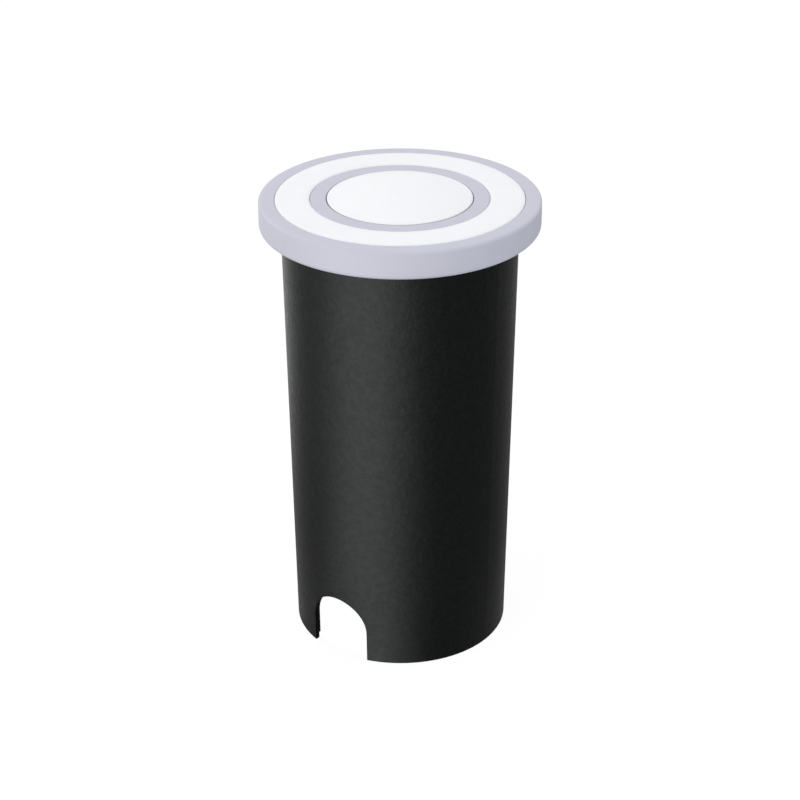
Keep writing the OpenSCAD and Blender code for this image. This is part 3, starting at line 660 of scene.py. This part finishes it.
class FLOORLIGHT_OT_trim(bpy.types.Operator):
    """Build the painted trim and finish the band between the lenses"""

    bl_idname = "floorlight.trim"
    bl_label = "Trim and band"

    def execute(self, context):
        paint = trim_paint(colours().trim)
        outline = rounded([
            (SPIGOT_IN, SPIGOT_LOW), (SPIGOT_OUT, SPIGOT_LOW, SPIGOT_EDGE), (SPIGOT_OUT, SEAT_Z),
            (SEAT_R, SEAT_Z), (SEAT_R, UNDERSIDE_Z), (TRIM_R, UNDERSIDE_Z, TRIM_LOW_EDGE),
            (TRIM_R, FACE_Z, TRIM_TOP_EDGE), (POCKET_R, FACE_Z, POCKET_EDGE), (POCKET_R, LEDGE_Z),
            (WINDOW_R, LEDGE_Z), (SPIGOT_IN, WINDOW_LOW),
        ])
        turned_piece("painted_trim", outline, paint, "lamp", "trim_finish", "trim_ring")
        dress(paint, "inner_band")
        return {"FINISHED"}


def soft_edge(radius, outward):
    """Soft edge of a lens, from its side up to its flat face; outward is 1 or, at a hole, -1"""
    drop, width = sizes().lens_drop / MM, sizes().lens_edge / MM
    steps = 12
    return [
        (radius - outward * width * (1 - math.cos(t)), LENS_TOP - drop * (1 - math.sin(t)))
        for t in (math.pi / (2 * steps) * s for s in range(steps + 1))
    ]


class FLOORLIGHT_OT_lenses(bpy.types.Operator):
    """Build the ring lens and the domed centre lens"""

    bl_idname = "floorlight.lenses"
    bl_label = "Opal lenses"

    def execute(self, context):
        white = colours().opal
        outer_r = POCKET_R - sizes().ring_joint / MM
        inner_r = BAND_R + sizes().band_joint / MM
        ring = [(inner_r, LENS_LOW), (outer_r, LENS_LOW)]
        ring += soft_edge(outer_r, 1) + soft_edge(inner_r, -1)[::-1]
        ring_white = opal("ring_opal", white)
        turned_piece("ring_lens", ring, ring_white, "lamp", "opal", "ring_diffuser")

        crown, steps = sizes().crown / MM, 40
        edge = soft_edge(DISC_R, 1)
        flat_r = edge[-1][0]
        shares = [1 - s / steps for s in range(1, steps + 1)]
        dome = [(flat_r * share, LENS_TOP + crown * (1 - share ** 2)) for share in shares]
        outline = [(0, LENS_LOW), (DISC_R, LENS_LOW)] + edge + dome
        # The centre lens's side gets painted shade for the joint round it
        centre_white = opal("centre_opal", white, JOINT_SHADE_TOP)
        turned_piece("centre_lens", outline, centre_white, "lamp", "opal", "centre_diffuser")
        return {"FINISHED"}


class FLOORLIGHT_OT_light_engine(bpy.types.Operator):
    """Build the light packages and finish the reflectors, the light board and the seals"""

    bl_idname = "floorlight.light_engine"
    bl_label = "Light engine"

    def execute(self, context):
        silicone = rubber("silicone", (0.80, 0.80, 0.77), 0.45)
        white = finish("white_moulding", (0.86, 0.86, 0.85), 0.45)
        metallised = finish(
            "metallised", (0.78, 0.79, 0.81), 0.14, variation=0.02, blotch=4.0, grain=0.6,
            depth=0.002, marks=0.5, Metallic=1.0,
        )
        board = printed_board("board_white", (0.85, 0.85, 0.82), (0.78, 0.76, 0.68), LIGHT_TRACKS)
        dress(silicone, "ring_outer_seal", "ring_inner_seal", "centre_seal")
        dress(white, "ring_reflector", "light_divider", "driver_liner")
        dress(metallised, "centre_reflector")
        dress(board, "led_board")
        dress(finish("heat_pad", (0.32, 0.38, 0.50), 0.7), "thermal_pad")
        phosphor = finish(
            "phosphor", colours().phosphor, 0.32, variation=0.05, blotch=1.0, grain=0.2,
            depth=0.004, Subsurface_Weight=0.2, Subsurface_Radius=(0.0008, 0.0006, 0.0002),
            Subsurface_Scale=1.0,
        )
        frame_white = finish("package_white", (0.83, 0.83, 0.80), 0.38)
        self.ring_packages(frame_white, phosphor)
        self.centre_chip(frame_white, phosphor)
        return {"FINISHED"}

    def ring_packages(self, frame_white, phosphor):
        """Each package has a tapered frame, a round cup and a low dome of phosphor. A point's
        third number is its inset from the frame's sides."""
        bm = bmesh.new()
        cup = RING_LED_TOP - CUP_DEPTH
        outline = [
            (0, BOARD_TOP), (1, BOARD_TOP, 0.0), (1, BOARD_TOP + 0.3, 0.0),
            (1, RING_LED_TOP - 0.05, 0.04), (1, RING_LED_TOP, 0.09), (1.14, RING_LED_TOP),
            (1.1, RING_LED_TOP - 0.03), (0.98, cup), (0.9, cup + 0.01), (0.6, cup + 0.04),
            (0.3, cup + 0.055), (0, cup + 0.06),
        ]

        def shape(radius, height, turn, inset):
            return rectangle(turn, PACKAGE_HALF_X - inset, PACKAGE_HALF_Y - inset)

        def in_cup(middle):
            return middle.xy.length < CUP_R and middle.z > cup - SLACK

        for k in range(RING_LEDS):
            spin = FULL_TURN * (k + 0.5) / RING_LEDS
            place = standing(RING_LED_R * math.cos(spin), RING_LED_R * math.sin(spin), spin)
            paint_faces(lathe(bm, outline, 48, shape, place), 1, in_cup, place)
        mesh_object("ring_packages", bm, [frame_white, phosphor], "lamp", "phosphor", "ring_leds")

    def centre_chip(self, frame_white, phosphor):
        """Square base with a round-topped dam, filled with phosphor gel. A point's third number
        is its inset from the base's sides."""
        base_top = BOARD_TOP + 1
        half_w, round_h = (DAM_R - GEL_R) / 2, 0.2
        outline = [(0, BOARD_TOP), (1, BOARD_TOP, 0.0), (1, base_top - 0.1, 0.0)]
        outline += [(1, base_top, 0.1), (DAM_R, base_top), (DAM_R, CHIP_TOP - round_h)]
        outline += [
            (DAM_R - half_w + half_w * math.cos(t), CHIP_TOP - round_h + round_h * math.sin(t))
            for t in (math.pi / 8 * s for s in range(1, 8))
        ]
        outline += [
            (GEL_R * share, CHIP_TOP - GEL_DROP + 0.06 * (1 - share ** 2))
            for share in (1, 0.8, 0.6, 0.4, 0.2, 0)
        ]

        def shape(radius, height, turn, inset):
            return rectangle(turn, CHIP_HALF - inset, CHIP_HALF - inset, SQUARE)

        def is_gel(middle):
            return middle.xy.length < GEL_R and middle.z > base_top

        bm = bmesh.new()
        paint_faces(lathe(bm, outline, 96, shape), 1, is_gel)
        mesh_object("centre_chip", bm, [frame_white, phosphor], "lamp", "phosphor", "centre_led")


class FLOORLIGHT_OT_housing(bpy.types.Operator):
    """Finish the cast housing, the rear cap, the gasket and the rubber grip rings"""

    bl_idname = "floorlight.housing"
    bl_label = "Cast housing"

    def execute(self, context):
        dress(casting("cast_housing", colours().casting, TURNED_FROM), "lamp_housing")
        dress(casting("cast_cap", colours().casting), "rear_cap")
        dress(
            rubber("black_rubber", colours().rubber), "head_gasket", "upper_grip_ring",
            "lower_grip_ring", "rear_cap_seal", "gland_flange_seal", "gland_seal",
        )
        return {"FINISHED"}


def add_screw(bm, place, head_z, head_r, head_h, thread_r, end_z, pitch):
    """Adds a socket screw that stands on its head's top face, with its thread pointing up"""
    socket = head_r * 0.45 * math.cos(FULL_TURN / 12)
    seat_z, socket_z = head_z + head_h, head_z + head_h * 0.55
    thread_z, tip_z, root = seat_z + 0.3, end_z - 0.35, thread_r * 0.82
    outline = [
        (0, socket_z + 0.15), (0.1, socket_z + 0.1), (1, socket_z, "socket"),
        (1, head_z + 0.1, "socket"), (socket * 1.3, head_z), (head_r - 0.22, head_z),
        (head_r - 0.06, head_z + 0.07), (head_r, head_z + 0.24, "knurl"),
        (head_r, seat_z - 0.12, "knurl"), (head_r - 0.06, seat_z), (root + 0.2, seat_z),
        (root, seat_z + 0.2),
    ]
    outline += stretch((thread_r, thread_z), (thread_r, tip_z), pitch / 6, "thread")
    outline += [(root - 0.1, end_z), (0, end_z)]

    def shape(radius, height, turn, tag):
        if tag == "socket":
            return hexagon(turn, socket)
        if tag == "knurl":
            return radius - KNURL_DEPTH * (1 - math.cos(KNURLS * turn))
        fade = min(1, (height - thread_z) / pitch, (tip_z - height) / pitch)
        return root + (thread_r - root) * max(0, fade) * thread_wave(height, turn, pitch)

    lathe(bm, outline, 72, shape, place)


class FLOORLIGHT_OT_screws(bpy.types.Operator):
    """Build the screws of the light divider and of the rear cap"""

    bl_idname = "floorlight.screws"
    bl_label = "Screws"

    def execute(self, context):
        steel = finish(
            "screw_steel", colours().steel, 0.28, variation=0.05, blotch=0.8, grain=0.15,
            depth=0.003, Metallic=1.0,
        )
        self.group("divider_screw_set", steel, "divider_screws", **DIVIDER_SCREWS)
        self.group("cap_screw_set", steel, "rear_cap_screws", **CAP_SCREWS)
        dress(steel, "terminal_screws")
        return {"FINISHED"}

    def group(self, name, steel, node, count, start, reach, **screw):
        """Like screws, spaced evenly round the axis"""
        bm = bmesh.new()
        for k in range(count):
            turn = math.radians(start) + FULL_TURN * k / count
            place = standing(reach * math.cos(turn), reach * math.sin(turn), turn)
            add_screw(bm, place, **screw)
        mesh_object(name, bm, [steel], "lamp", "screw_steel", node)


class FLOORLIGHT_OT_driver(bpy.types.Operator):
    """Build the coil, the capacitors and the chips, and finish the rest of the driver"""

    bl_idname = "floorlight.driver"
    bl_label = "Driver"

    def execute(self, context):
        board = printed_board(
            "board_green", (0.02, 0.13, 0.06), (0.05, 0.24, 0.10), grid=DRIVER_TRACK_PITCH
        )
        ferrite = finish(
            "ferrite", (0.05, 0.05, 0.055), 0.5, variation=0.2, blotch=1.0, grain=0.15, depth=0.012
        )
        dress(board, "driver_board")
        dress(ferrite, "transformer_core")
        dress(finish("terminal_green", (0.05, 0.30, 0.12), 0.45), "terminal_block")
        dress(finish("lead_red", (0.45, 0.03, 0.02), 0.4), "led_leads")
        self.coil()
        self.capacitors()
        self.chips()
        return {"FINISHED"}

    def coil(self):
        """Bobbin with a flange at each end and taped windings between, round the core's leg"""
        low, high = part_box("transformer_coil")
        half_x, half_y = (high.x - low.x) / 2 / MM, (high.y - low.y) / 2 / MM
        low_z, high_z = low.z / MM, high.z / MM
        wire = sizes().wire / MM
        first, last = low_z + COIL_FLANGE, high_z - COIL_FLANGE
        outline = [(1, high_z, "hole"), (1, low_z, "hole"), (1, low_z, "flange")]
        outline += [(1, first, "flange")] + stretch((1, first), (1, last), wire / 4, "wound")
        outline += [(1, last, "flange"), (1, high_z, "flange")]
        place = standing((low.x + high.x) / 2 / MM, (low.y + high.y) / 2 / MM)

        def shape(radius, height, turn, tag):
            if tag == "hole":
                return rectangle(turn, *LEG_HOLE, SQUARE)
            if tag == "flange":
                return rectangle(turn, half_x, half_y, SQUARE)
            inset = TAPE_INSET - WIRE_RIDGE * abs(math.sin(math.pi * (height - first) / wire))
            return rectangle(turn, half_x - inset, half_y - inset, SOFT_SQUARE)

        def is_tape(middle):
            wound = first - SLACK < middle.z < last + SLACK
            return wound and middle.xy.length > TAPE_FROM

        bm = bmesh.new()
        paint_faces(lathe(bm, outline, 96, shape, place), 1, is_tape, place)
        bobbin = finish("bobbin_black", (0.02, 0.02, 0.022), 0.45)
        tape = finish(
            "coil_tape", (0.72, 0.48, 0.06), 0.3, variation=0.08, blotch=3.0, grain=0.5,
            depth=0.004, Coat_Weight=0.3,
        )
        mesh_object("wound_coil", bm, [bobbin, tape], "lamp", "coil_tape", "transformer_coil")

    def capacitors(self):
        """Each can has a rolled groove, a pale stripe down its sleeve and a bare top"""
        low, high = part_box("smoothing_capacitors")
        radius, length = (high.z - low.z) / 2 / MM, (high.y - low.y) / MM
        outline = rounded([
            (0, 0), (radius - 0.5, 0), (radius, 0.5, 0.3), (radius, 1.1, 0.1),
            (radius - 0.25, 1.45, 0.2), (radius, 1.8, 0.1), (radius, length, 0.45),
            (radius - 0.75, length, 0.1), (radius - 0.85, length - 0.2, 0.05), (0, length - 0.2),
        ], 4)
        lying = Matrix.Rotation(-math.pi / 2, 4, "X")

        def on_top(middle):
            return middle.xy.length < radius - CAN_FOLD and middle.z > 1

        bm = bmesh.new()
        for side in (-1, 1):
            def on_stripe(middle, stripe=side):
                return abs(math.atan2(middle.y, middle.x) - stripe) < STRIPE_HALF

            x = (high.x + low.x) / 2 + side * ((high.x - low.x) / 2 - radius * MM)
            place = Matrix.Translation((x, low.y, (low.z + high.z) / 2)) @ lying
            faces = lathe(bm, outline, 96, None, place)
            paint_faces(faces, 1, on_stripe, place)
            paint_faces(faces, 2, on_top, place)
        finishes = [
            finish("can_sleeve", (0.016, 0.02, 0.05), 0.35),
            finish("can_stripe", (0.55, 0.57, 0.60), 0.4),
            finish("can_top", (0.60, 0.60, 0.61), 0.3, variation=0.05, blotch=1.0, grain=0.2,
                   depth=0.004, Metallic=1.0),
        ]
        slot_name, node = "component_black", "smoothing_capacitors"
        mesh_object("capacitor_cans", bm, finishes, "lamp", slot_name, node)

    def chips(self):
        """Each chip has a moulded body and four bent legs a side, standing on the driver board"""
        low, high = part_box("driver_chips")
        board, top = low.y / MM, high.y / MM
        leg_x, leg_y, leg_z = LEG_SIZE
        inner = CHIP_INSET + 0.1

        def is_leg(middle):
            under = (x + inner < middle.x < x + CHIP_WIDTH - inner for x, _ in CHIP_SPOTS)
            return middle.y < board + leg_y + SLACK and not any(under)

        bm = bmesh.new()
        for x, z in CHIP_SPOTS:
            right, last_z = x + CHIP_WIDTH, z + CHIP_LENGTH
            low_corner = (x + CHIP_INSET, board + CHIP_LIFT, z)
            block(bm, low_corner, (right - CHIP_INSET, top, last_z), 0.12)
            for leg in range(LEGS):
                foot = z + LEG_FIRST + leg * LEG_PITCH
                for left in (x, right - leg_x):
                    high_corner = (left + leg_x, board + leg_y, foot + leg_z)
                    block(bm, (left, board, foot), high_corner, 0.04)
        black = finish("component_black", (0.02, 0.02, 0.025), 0.42)
        tin = finish("leg_tin", (0.62, 0.62, 0.60), 0.3, Metallic=1.0)
        paint_faces(bm.faces, 1, is_leg)
        mesh_object("chip_set", bm, [black, tin], "lamp", "component_black", "driver_chips")


class FLOORLIGHT_OT_gland(bpy.types.Operator):
    """Build the cable gland with its threads"""

    bl_idname = "floorlight.gland"
    bl_label = "Cable gland"

    def execute(self, context):
        nylon = finish(
            "gland_nylon", colours().nylon, 0.46, variation=0.08, blotch=1.5, grain=0.35,
            depth=0.010,
        )
        pitch, depth = sizes().gland_pitch / MM, sizes().gland_thread / MM

        def shape(radius, height, turn, tag, *ends):
            if tag in ("hex", "grip"):
                across = HEX_FLAT * math.tan((turn % (FULL_TURN / 6)) - FULL_TURN / 12)
                ribbed = tag == "grip" and abs(across) < GRIP_HALF
                rib = GRIP_DEPTH * (1 - math.cos(FULL_TURN * across / GRIP_PITCH)) if ribbed else 0
                return min(radius, hexagon(turn, HEX_FLAT)) - rib
            low, high = ends
            fade = max(0, min(1, (height - low) / pitch, (high - height) / pitch))
            if tag == "bore":
                return radius - depth * 0.9 * fade * (1 - thread_wave(height, turn, pitch))
            return radius - depth * (1 - fade * thread_wave(height, turn, pitch))

        body, nut = self.body(pitch, depth), self.nut(pitch)
        turned_piece("threaded_gland", body, nylon, "lamp", "gland_grey", "gland_body", shape)
        turned_piece("threaded_nut", nut, nylon, "gland_cap", "gland_grey", "gland_nut", shape)
        dress(finish("natural_nylon", (0.70, 0.70, 0.67), 0.45), "gland_thrust_ring")
        return {"FINISHED"}

    def body(self, pitch, depth):
        """Outline of the gland: entry thread, hexagonal flange, neck with its thread, chamber"""
        return [
            (BORE_R, ENTRY_TOP), (ENTRY_R - 0.8, ENTRY_TOP),
            *self.thread(ENTRY_R, "screw", pitch, *ENTRY_THREAD),
            (ENTRY_R - depth, GLAND_TOP), *self.hex_edge(GLAND_TOP, -1),
            *self.hex_edge(FLANGE_LOW, 1)[::-1], (NECK_R - depth, FLANGE_LOW),
            *self.thread(NECK_R, "screw", pitch, *NECK_THREAD),
            (NECK_R - depth - 0.1, NECK_LOW), (CHAMBER_R, NECK_LOW),
            (CHAMBER_R, CHAMBER_TOP), (BORE_R, CHAMBER_TOP),
        ]

    def nut(self, pitch):
        """Outline of the nut: domed end, hexagon with its grip ribs, threaded bore"""
        dome_r, side_low = HEX_CORNER - NUT_SHOULDER - NUT_ROUND, NUT_LOW + NUT_SHOULDER
        dome = [
            (dome_r + NUT_ROUND * math.sin(t), NUT_LOW + NUT_ROUND * (1 - math.cos(t)))
            for t in (math.pi / 4 * s / 6 for s in range(7))
        ]
        return [
            (BORE_R, NUT_FLOOR), (BORE_R, NUT_LOW + 0.35), (BORE_R + 0.35, NUT_LOW), *dome,
            *stretch(dome[-1], (HEX_CORNER, side_low), 0.12, "hex")[1:],
            *((HEX_CORNER, z, tag) for z, tag in NUT_SIDE), *self.hex_edge(NUT_TOP, -1)[::-1],
            (NECK_R + 0.4, NUT_TOP), (NUT_BORE_R, NUT_TOP - 0.35),
            *self.thread(NUT_BORE_R, "bore", pitch, *BORE_THREAD), (NUT_BORE_R, NUT_FLOOR),
        ]

    def hex_edge(self, z, way):
        """Outline of the hexagon's eased edge, from its flat face at z up or down to its side"""
        first, last = (HEX_CORNER - HEX_EASE, z), (HEX_CORNER, z + way * HEX_EASE / 2)
        return stretch(first, last, 0.1, "hex")

    def thread(self, radius, tag, pitch, top, foot, low, high):
        """Outline down a thread, which fades out towards low and high"""
        return stretch((radius, top), (radius, foot), pitch / THREAD_STEPS, tag, low, high)


class FLOORLIGHT_OT_studio(bpy.types.Operator):
    """Set up the floor, the lamps and the camera"""

    bl_idname = "floorlight.studio"
    bl_label = "Studio"

    def execute(self, context):
        studio = context.scene.floor_light_studio
        context.scene.view_settings.view_transform = "Standard"
        make_floor()
        make_world(studio)
        make_lamps(studio)
        make_card(studio)
        make_camera(studio)
        return {"FINISHED"}


# Studio


def flat_stage(name, opening, reach, material):
    """Flat ring round the Z axis that belongs to the studio, seen from above alone"""
    bm = bmesh.new()
    turns = [FULL_TURN * c / STAGE_COLUMNS for c in range(STAGE_COLUMNS)]
    inner, outer = (
        [bm.verts.new((r * math.cos(t), r * math.sin(t), 0)) for t in turns]
        for r in (opening, reach)
    )
    for c in range(STAGE_COLUMNS):
        d = (c + 1) % STAGE_COLUMNS
        bm.faces.new([inner[c], outer[c], outer[d], inner[d]])
    piece = add_mesh(name, bm, [material])
    return piece


def one_sided(r, shader):
    """Ends a stage material that shows its upper side and can be seen through from below"""
    below = r.add("ShaderNodeNewGeometry").outputs["Backfacing"]
    return r.end(r.mix(below, shader, r.add("ShaderNodeBsdfTransparent")))


def make_floor():
    """Pale floor that shows white and keeps a faint shadow, open under the sleeve"""
    r = Recipe("floor_paper")
    grain = r.bump(r.noise(3.0), 0.02)
    shadow = r.add("ShaderNodeBsdfDiffuse", {"Color": (SHADOW_SHARE,) * 3 + (1,), "Normal": grain})
    glow = r.add("ShaderNodeEmission", {"Color": (1, 1, 1, 1), "Strength": FLOOR_GLOW})
    white = r.add("ShaderNodeAddShader", {0: shadow, 1: glow})
    tone = r.shades(r.spread(r.noise(40.0)), FLOOR_COLOUR, 0.98, 1.0)
    paper = r.add("ShaderNodeBsdfDiffuse", {"Color": tone, "Normal": grain})
    material = one_sided(r, r.mix(r.seen(), paper, white))
    flat_stage("floor", FLOOR_OPENING, FLOOR_REACH, material)


def card_ramp(r, turn, levels):
    """Grades of the card round its centre"""
    ramp = r.add("ShaderNodeValToRGB", {"Fac": turn})
    stops = ramp.color_ramp.elements
    while len(stops) < len(levels):
        stops.new(0.5)
    for stop, angle, level in zip(stops, CARD_ANGLES, levels):
        stop.position = 0.5 + angle / 360
        stop.color = (level / CARD_TOP,) * 3 + (1,)
    return ramp.outputs["Color"]


def make_card(studio):
    """Graded card flat on the floor, bright on one side, dark elsewhere, and seen in gloss alone"""
    r = Recipe("graded_card")
    gradient = r.add("ShaderNodeTexGradient", {"Vector": r.place}, gradient_type="RADIAL")
    turn = gradient.outputs["Fac"]
    foot, near, far = (card_ramp(r, turn, levels) for levels in (CARD_FOOT, CARD_NEAR, CARD_FAR))
    level = r.blend(r.outside(*FOOT_TO_NEAR), foot, near)
    level = r.blend(r.outside(*NEAR_TO_FAR), level, far)
    level = r.blend(r.outside(*CORE), (CORE_LEVEL,) * 3 + (1,), level)
    light = r.add("ShaderNodeEmission", {"Color": level, "Strength": CARD_TOP * studio.card})
    card = flat_stage("graded_card", CARD_OPENING, CARD_REACH, one_sided(r, light))
    card.location.z = CARD_LIFT
    card.rotation_euler.z = studio.azimuth - math.pi / 2
    for ray in ("camera", "diffuse", "transmission", "volume_scatter", "shadow"):
        setattr(card, "visible_" + ray, False)


def make_world(studio):
    """Even light from all round, shown white behind the object"""
    r = Recipe("studio", bpy.data.worlds)
    light = r.add("ShaderNodeBackground", {"Color": (*studio.sky, 1), "Strength": studio.world})
    white = r.add("ShaderNodeBackground", {"Color": (1, 1, 1, 1)})
    bpy.context.scene.world = r.end(r.mix(r.seen(), light, white), "ShaderNodeOutputWorld")


def round_about(azimuth, reach, height):
    """Point at an azimuth counted as the camera's is, a level distance and a height"""
    return Vector((reach * math.sin(azimuth), -reach * math.cos(azimuth), height))


def make_lamp(name, power, tint, azimuth, left, width, depth, reach, height):
    """Soft lamp that looks at the light and isn't seen itself, nor in gloss"""
    place = round_about(azimuth - math.radians(left), reach, height)
    data = bpy.data.lights.new(name, "AREA")
    data.shape = "RECTANGLE"
    data.size, data.size_y = width, depth
    data.energy, data.color = power, tint
    light = add_object(name, data)
    light.location = place
    light.rotation_euler = (Vector((0, 0, LAMP_AIM)) - place).to_track_quat("-Z", "Y").to_euler()
    light.visible_camera = light.visible_glossy = False


def make_lamps(studio):
    """Key lamp on the left and a weaker lamp behind"""
    make_lamp("key", studio.key, studio.key_tint, studio.azimuth, *KEY_LAMP)
    make_lamp("back", studio.back, (1, 1, 1), studio.azimuth, *BACK_LAMP)


def make_camera(studio):
    """Camera, at the place from which the photo was taken"""
    data = bpy.data.cameras.new("camera")
    data.sensor_width, data.lens, data.shift_x = SENSOR, studio.lens, SHIFT
    data.clip_start, data.clip_end = CLIP
    camera = add_object("camera", data)
    place = Matrix.Translation(round_about(studio.azimuth, studio.reach, studio.height))
    heading = Matrix.Rotation(studio.azimuth, 4, "Z")
    tilt = Matrix.Rotation(math.pi / 2 - studio.pitch, 4, "X")
    camera.matrix_world = place @ heading @ tilt @ Matrix.Rotation(studio.roll, 4, "Z")
    bpy.context.scene.camera = camera


class FLOORLIGHT_PT_panel(bpy.types.Panel):
    """Lists the light's pieces and settings"""

    bl_idname = "FLOORLIGHT_PT_panel"
    bl_label = "Floor Light"
    bl_space_type = "VIEW_3D"
    bl_region_type = "UI"
    bl_category = "Floor Light"

    def draw(self, context):
        for group_name in GROUPS:
            group = getattr(context.scene, group_name)
            box = self.layout.box()
            for name in group.__annotations__:
                box.prop(group, name)
        for maker in MAKERS:
            self.layout.operator(maker.bl_idname)


MAKERS = (
    FLOORLIGHT_OT_studio,
    FLOORLIGHT_OT_sleeve,
    FLOORLIGHT_OT_trim,
    FLOORLIGHT_OT_lenses,
    FLOORLIGHT_OT_light_engine,
    FLOORLIGHT_OT_housing,
    FLOORLIGHT_OT_screws,
    FLOORLIGHT_OT_driver,
    FLOORLIGHT_OT_gland,
)
GROUPS = {
    "floor_light_finishes": FloorLightFinishes,
    "floor_light_sizes": FloorLightSizes,
    "floor_light_studio": FloorLightStudio,
}


def register():
    """Adds the settings, the operators and the panel"""
    for group in GROUPS.values():
        bpy.utils.register_class(group)
    for name, group in GROUPS.items():
        setattr(bpy.types.Scene, name, PointerProperty(type=group))
    for maker in MAKERS:
        bpy.utils.register_class(maker)
    bpy.utils.register_class(FLOORLIGHT_PT_panel)


def unregister():
    """Takes them out again, in reverse order"""
    bpy.utils.unregister_class(FLOORLIGHT_PT_panel)
    for maker in reversed(MAKERS):
        bpy.utils.unregister_class(maker)
    for name, group in GROUPS.items():
        delattr(bpy.types.Scene, name)
        bpy.utils.unregister_class(group)


def main():
    """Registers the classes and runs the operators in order"""
    register()
    for maker in MAKERS:
        family, name = maker.bl_idname.split(".")
        getattr(getattr(bpy.ops, family), name)()


if __name__ == "__main__":
    main()
